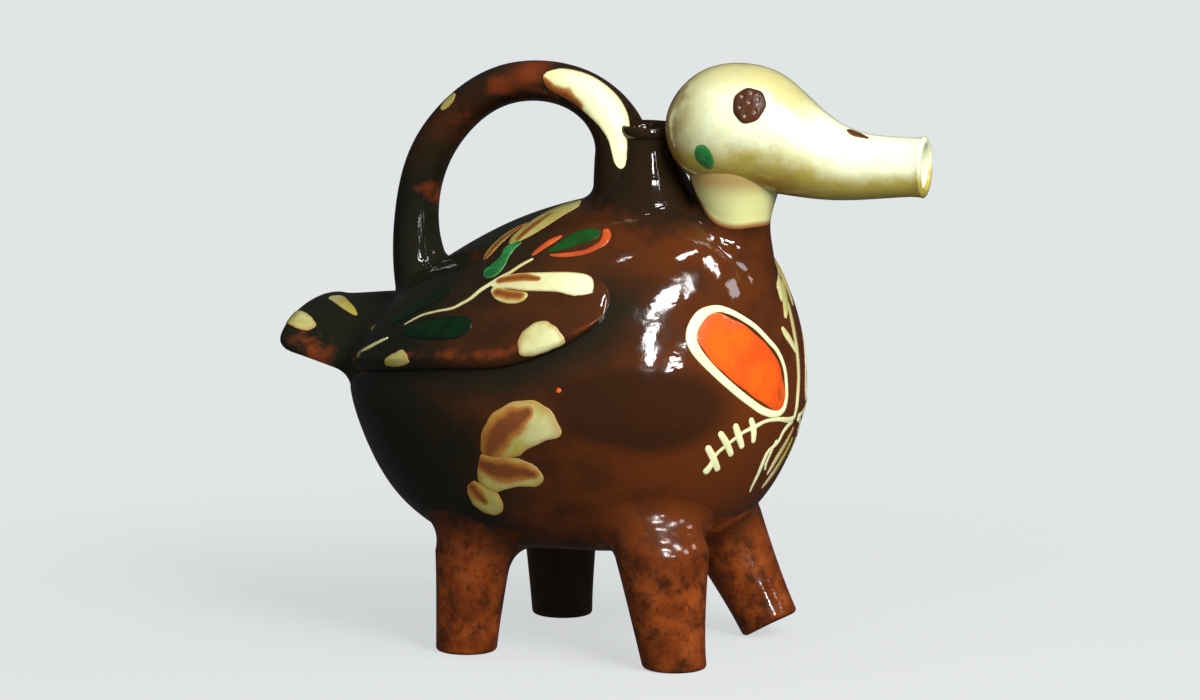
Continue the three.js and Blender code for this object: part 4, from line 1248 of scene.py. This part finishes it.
# thick is the sum of clouds, painted shade low at the rear, less a painted reflection of the pale
# floor low at the front, and what lies under the rim; green is the most of the rear, partly
# painted shade, the thickest places and the darkened value, painted shade under the wings.
# rearShare and darkness weigh the rear and the rim.
def brownColour(on, rearShare, darkness):
    wander = (on.broad - 0.5) * brown["wander"]
    # low on the belly: painted shade at the rear, and a lighter painted reflection of the pale
    # floor at the front
    low = (on.z + wander).span(*brown["below"])
    ahead = on.x.span(*brown["ahead"]) * brown["floorReflectionAhead"] + brown["shadeBelow"]
    upward = on.z.span(*brown["rim"]) * darkness * on.x.span(*brown["bow"])
    thick = on.mottle * brown["mottled"] + on.broad * brown["clouded"] + low * ahead + upward
    thick = thick.atMost(1.0).atLeast(0.0)
    lighter = on.z.span(*brown["above"]) * on.broad * brown["lighter"] + 1.0
    # the rear goes towards green-black: partly the glaze's own tone, partly painted shade on the
    # side away from the lamps
    rear = (on.x + wander).span(*brown["rear"]) * lighter * (brown["green"] * rearShare)
    green = rear.atLeast(thick - brown["greenFrom"])
    # darkened: painted shade on the belly under the wings, and a flat darker tone on the wings
    green = green.atLeast(on.read("darkened") * brown["darkened"])
    colour = thick.between(brown["red"], brown["dark"]).toward(brown["deep"], green)
    # painted shade: a dark patch on the lower breast, an ellipsoid round its centre
    off = on.place.vector("SUBTRACT", brown["shadeAt"]).vector("MULTIPLY", brown["shadeSize"])
    far = off.vector("LENGTH", output="Value") + wander * brown["shadeWander"]
    colour = colour.toward(brown["dark"], far.span(*brown["shadeEdge"]) * brown["shadeShare"])
    # reddish: wear on the handle, and painted light on the lit right edge of the tail and the lit
    # lower edge of the wings
    wornAndLit = (on.read("wornAndLit") + on.mottle * brown["wornAndLitPatchy"]).span(*brown["wornAndLit"])
    return colour.toward(brown["wornAndLitColour"], wornAndLit)


# Cream glaze: a white slip under clear glaze, with olive painted underneath and at the back as
# shade
cream = {
    "white": (0.80, 0.875, 0.60), "olive": (0.43, 0.36, 0.070), "amber": (0.25, 0.10, 0.018),
    "under": (0.40, 0.78), "back": (0.062, 0.036), "crease": (0.201, 0.187),
    "beak": (0.085, 0.10), "nape": (0.047, 0.034), "crown": (0.24, 0.04), "wander": 0.008,
    "lowWander": 9.0, "underShare": 0.95, "backShare": 0.65, "crownShare": 0.6, "clouded": 0.10,
    "creaseShare": 0.6, "napeShare": 0.75, "specked": 0.12,
}


# olive is the most of under and back, both painted shade, and crown, with clouds on it; amber is
# the most of the crease over the throat, painted shade in the joint, and the nape. low is above 0
# on the head alone.
def creamColour(on):
    wander = (on.mottle - 0.5) * cream["wander"]
    low, onHead = on.read("low") + wander * cream["lowWander"], on.read("low").isOver(0.0)
    behind = 1.0 - on.x.span(*cream["beak"])
    # painted shade: olive under the head and at its back
    olive = (low.span(*cream["under"]) * cream["underShare"]).atLeast(
        (on.x + wander).span(*cream["back"]) * cream["backShare"])
    olive = olive.atLeast(low.span(*cream["crown"]) * onHead * behind * cream["crownShare"])
    olive = (olive + on.broad * cream["clouded"] + on.mottle * cream["clouded"]).atMost(1.0)
    # painted shade: amber in the crease where the head sits on the throat
    crease = (on.z + wander).span(*cream["crease"]) * behind * onHead
    nape = (on.x + wander).span(*cream["nape"])
    amber = (crease * cream["creaseShare"]).atLeast(nape * cream["napeShare"])
    colour = olive.between(cream["white"], cream["olive"]).toward(cream["amber"], amber)
    return colour.toward(cream["amber"], on.specks * cream["specked"])


# The throat was dipped in slip to a line that is level in front and climbs behind:
# level + rise * share^power, where share goes from 0 at front to 1 at front - run.
dip = {
    "level": 0.1732, "rise": 0.020, "front": 0.066, "run": 0.023, "power": 2.5, "edge": 0.0008,
    "wander": 0.003, "rim": 0.0028, "rimShare": 0.9, "slip": (0.62, 0.61, 0.19), "slipShare": 0.7,
    "rimColour": (0.24, 0.050, 0.010), "crease": (0.1845, 0.1935), "creaseShare": 0.75,
}


def throatColour(on):
    ends = {0: on.x, 1: dip["front"], 2: dip["front"] - dip["run"]}
    share = Value(put(on.x.tree, "MapRange", ends))
    line = share ** dip["power"] * dip["rise"] + dip["level"] + (on.broad - 0.5) * dip["wander"]
    past = line - on.z
    above = creamColour(on).toward(dip["slip"], dip["slipShare"])
    # painted shade: amber at the top of the throat, in the joint under the head
    above = above.toward(cream["amber"], on.z.span(*dip["crease"]) * dip["creaseShare"])
    above = above.toward(dip["rimColour"], past.span(-dip["rim"], 0.0) * dip["rimShare"])
    return above.toward(brownColour(on, 0.2, 0.8), past.span(0.0, dip["edge"]))


# Legs: the glaze is wiped thin, so the red clay shows, with dark specks, and thickens upwards.
# The far rear leg is painted darker, as shade.
bare = {
    "clay": (0.120, 0.024, 0.0045), "wornAndLit": (0.250, 0.055, 0.009), "soot": (0.016, 0.008, 0.004),
    "blotch": (130.0, 5.0, 0.68), "blotchSpan": (0.44, 0.66), "blotchShare": 0.75,
    "specked": 0.5, "wander": 0.016, "thick": (0.034, 0.060), "far": (0.0, 0.03),
    "rear": (0.02, 0.0), "farShare": 0.85,
}


def thinColour(on):
    blotch = cloud(on.place, *bare["blotch"]).span(*bare["blotchSpan"])
    clay = on.mottle.between(bare["clay"], bare["wornAndLit"])
    clay = clay.toward(bare["soot"], blotch * bare["blotchShare"])
    clay = clay.toward(bare["soot"], on.specks * bare["specked"])
    thick = (on.z + (on.mottle - 0.5) * bare["wander"]).span(*bare["thick"])
    # painted shade on the far rear leg
    far = on.y.span(*bare["far"]) * on.x.span(*bare["rear"]) * bare["farShare"]
    return clay.toward(brownColour(on, 0.5, 0.1), thick).toward(brown["deep"], far)


# Slip marks: colours by the values on their meshes. pale goes from olive to white, the rim to
# ochre and the core through ochre to brown; plain are the spans of the coloured slips.
slipColours = {
    "white": (0.80, 0.84, 0.49), "olive": (0.36, 0.31, 0.055), "ochre": (0.36, 0.14, 0.024),
    "brown": (0.170, 0.050, 0.013), "drift": 0.3, "coreDrift": 0.8, "rim": (0.72, 1.0),
    "rimShare": 0.55, "ochreCore": (0.12, 0.5), "brownCore": (0.45, 0.95),
    "plainCore": (0.2, 0.9), "plainShare": 0.6, "plainRim": (0.7, 1.0),
}


def creamSlipColour(on):
    drift = (on.mottle - 0.5) * slipColours["drift"]
    pale = (on.read("pale") + drift).atLeast(0.0).atMost(1.0)
    colour = pale.between(slipColours["olive"], slipColours["white"])
    rim = on.read("rim").span(*slipColours["rim"]) * slipColours["rimShare"]
    core = on.read("core") + drift * slipColours["coreDrift"]
    colour = colour.toward(slipColours["ochre"], rim)
    colour = colour.toward(slipColours["ochre"], core.span(*slipColours["ochreCore"]))
    return colour.toward(slipColours["brown"], core.span(*slipColours["brownCore"]))


# two colours in clouds, the brown through its thin core, and its thin rim
def colouredSlip(on, first, second, rimColour, rimShare=0.6):
    core = on.read("core").span(*slipColours["plainCore"]) * slipColours["plainShare"]
    rim = on.read("rim").span(*slipColours["plainRim"]) * rimShare
    colour = on.mottle.between(first, second).toward(slipColours["brown"], core)
    return colour.toward(rimColour, rim)


stamped = {
    "clay": (0.075, 0.023, 0.009), "dark": (0.024, 0.009, 0.005), "slip": (0.48, 0.42, 0.27),
    "prick": (0.3, 0.9), "share": 0.7,
}


def stampedColour(on):
    prick = on.read("prick").span(*stamped["prick"]) * stamped["share"]
    return on.mottle.between(stamped["clay"], stamped["dark"]).toward(stamped["slip"], prick)


# Skins: rings, peel, coat, and the roughness they run between. Glazes: skin, colour and what the
# colour is made with, which for a slip is two colours, the rim's colour and its share.
coat = {"rough": 0.03, "refraction": 1.52}
skins = {
    "brown": (0.12, 0.02, 0.3, (0.05, 0.12)), "cream": (0.25, 0.04, 0.6, (0.14, 0.26)),
    "throat": (0.3, 0.02, 0.3, (0.05, 0.12)), "thin": (0.1, 0.04, 0.35, (0.08, 0.20)),
    "slip": (0.2, 0.06, 0.5, (0.14, 0.28)), "stamped": (0.0, 0.2, 0.2, (0.3, 0.5)),
}
glazes = {
    "brownGlaze": ("brown", brownColour, 1.0, 0.8),
    "darkGlaze": ("brown", brownColour, 1.0, 0.8),
    "creamGlaze": ("cream", creamColour),
    "throatGlaze": ("throat", throatColour),
    "thinGlaze": ("thin", thinColour),
    "creamSlip": ("slip", creamSlipColour),
    "orangeSlip": ("slip", colouredSlip, (0.82, 0.115, 0.008), (0.72, 0.072, 0.006),
                   (0.45, 0.06, 0.01), 0.3),
    "redSlip": ("slip", colouredSlip, (0.60, 0.095, 0.016), (0.38, 0.052, 0.012),
                (0.36, 0.10, 0.03), 0.4),
    "greenSlip": ("slip", colouredSlip, (0.03, 0.25, 0.06), (0.008, 0.09, 0.022),
                  (0.12, 0.26, 0.08)),
    "leafSlip": ("slip", colouredSlip, (0.007, 0.080, 0.010), (0.010, 0.045, 0.008),
                 (0.012, 0.03, 0.008)),
    "darkSlip": ("slip", colouredSlip, (0.003, 0.024, 0.006), (0.003, 0.010, 0.004),
                 (0.005, 0.007, 0.004), 0.9),
    "stainSlip": ("slip", colouredSlip, (0.06, 0.018, 0.006), (0.10, 0.035, 0.010),
                  (0.28, 0.14, 0.04), 0.5),
    "stampedClay": ("stamped", stampedColour),
}


def openMaterial(name):
    material(name).use_nodes = True
    tree = material(name).node_tree
    return tree, tree.nodes["Principled BSDF"]


def makeGlaze(name, skinName, colourOf, *given):
    tree, shader = openMaterial(name)
    on = Ground(tree)
    rings, peel, weight, (smooth, rough) = skins[skinName]
    inputs = {"Place": on.place, "Rings": rings, "Peel": peel}
    normal = Value(put(tree, "Group", inputs, node_tree=glazeSkin))
    roughness = Value(put(tree, "MapRange", {0: on.mottle, 3: smooth, 4: rough}))
    fill(shader, {
        "Base Color": colourOf(on, *given), "Normal": normal, "Coat Normal": normal,
        "Roughness": roughness, "Coat Weight": weight, "Coat Roughness": coat["rough"],
        "IOR": coat["refraction"],
    })


for name, settings in glazes.items():
    makeGlaze(name, *settings)
print("materials: glazes and slips")

# The paper under the jug takes soft shadows near it and fades into the backdrop's colour.
backdrop = {
    "colour": (0.760, 0.780, 0.785), "paper": (0.60, 0.62, 0.62), "fade": (0.14, 0.45),
    "grain": 900.0, "grainShare": 0.04, "rough": 0.9, "sky": (0.95, 0.97, 1.0), "glow": 0.30,
    "shine": 0.03, "lit": 0.22,
}


# light of a colour by the kind of ray: the camera sees the backdrop's colour as it is, rays from
# the glaze find the faint shine, and all others the glow
def byRay(tree, kind, colour):
    path = put(tree, "LightPath", {}).outputs
    shown, glow, shine = (
        put(tree, kind, {"Color": own, "Strength": strength}).outputs[0]
        for own, strength in ((backdrop["colour"], 1.0), (colour, backdrop["glow"]),
                              (colour, backdrop["shine"]))
    )
    away = put(tree, "MixShader", {0: path["Is Glossy Ray"], 1: glow, 2: shine}).outputs[0]
    return put(tree, "MixShader", {0: path["Is Camera Ray"], 1: away, 2: shown}).outputs[0]


def paperFloor():
    tree, shader = openMaterial("floorPaper")
    place = Value(put(tree, "TexCoord", {}), "Object")
    grain = cloud(place, backdrop["grain"]) * backdrop["grainShare"]
    fill(shader, {"Base Color": grain.between(backdrop["paper"], (1.0, 1.0, 1.0)),
                  "Roughness": backdrop["rough"]})
    far = place.vector("LENGTH", output="Value").span(*backdrop["fade"])
    glossy = Value(put(tree, "LightPath", {}), "Is Glossy Ray")
    own = (1.0 - far) * backdrop["lit"] * (1.0 - glossy)
    lights = {0: own, 1: byRay(tree, "Emission", backdrop["colour"]), 2: shader.outputs[0]}
    fill(tree.nodes["Material Output"],
         {"Surface": put(tree, "MixShader", lights).outputs[0]})


def studioWorld():
    world = bpy.data.worlds.new("studio")
    bpy.context.scene.world = world
    world.use_nodes = True
    tree = world.node_tree
    fill(tree.nodes["World Output"], {"Surface": byRay(tree, "Background", backdrop["sky"])})


paperFloor()
studioWorld()
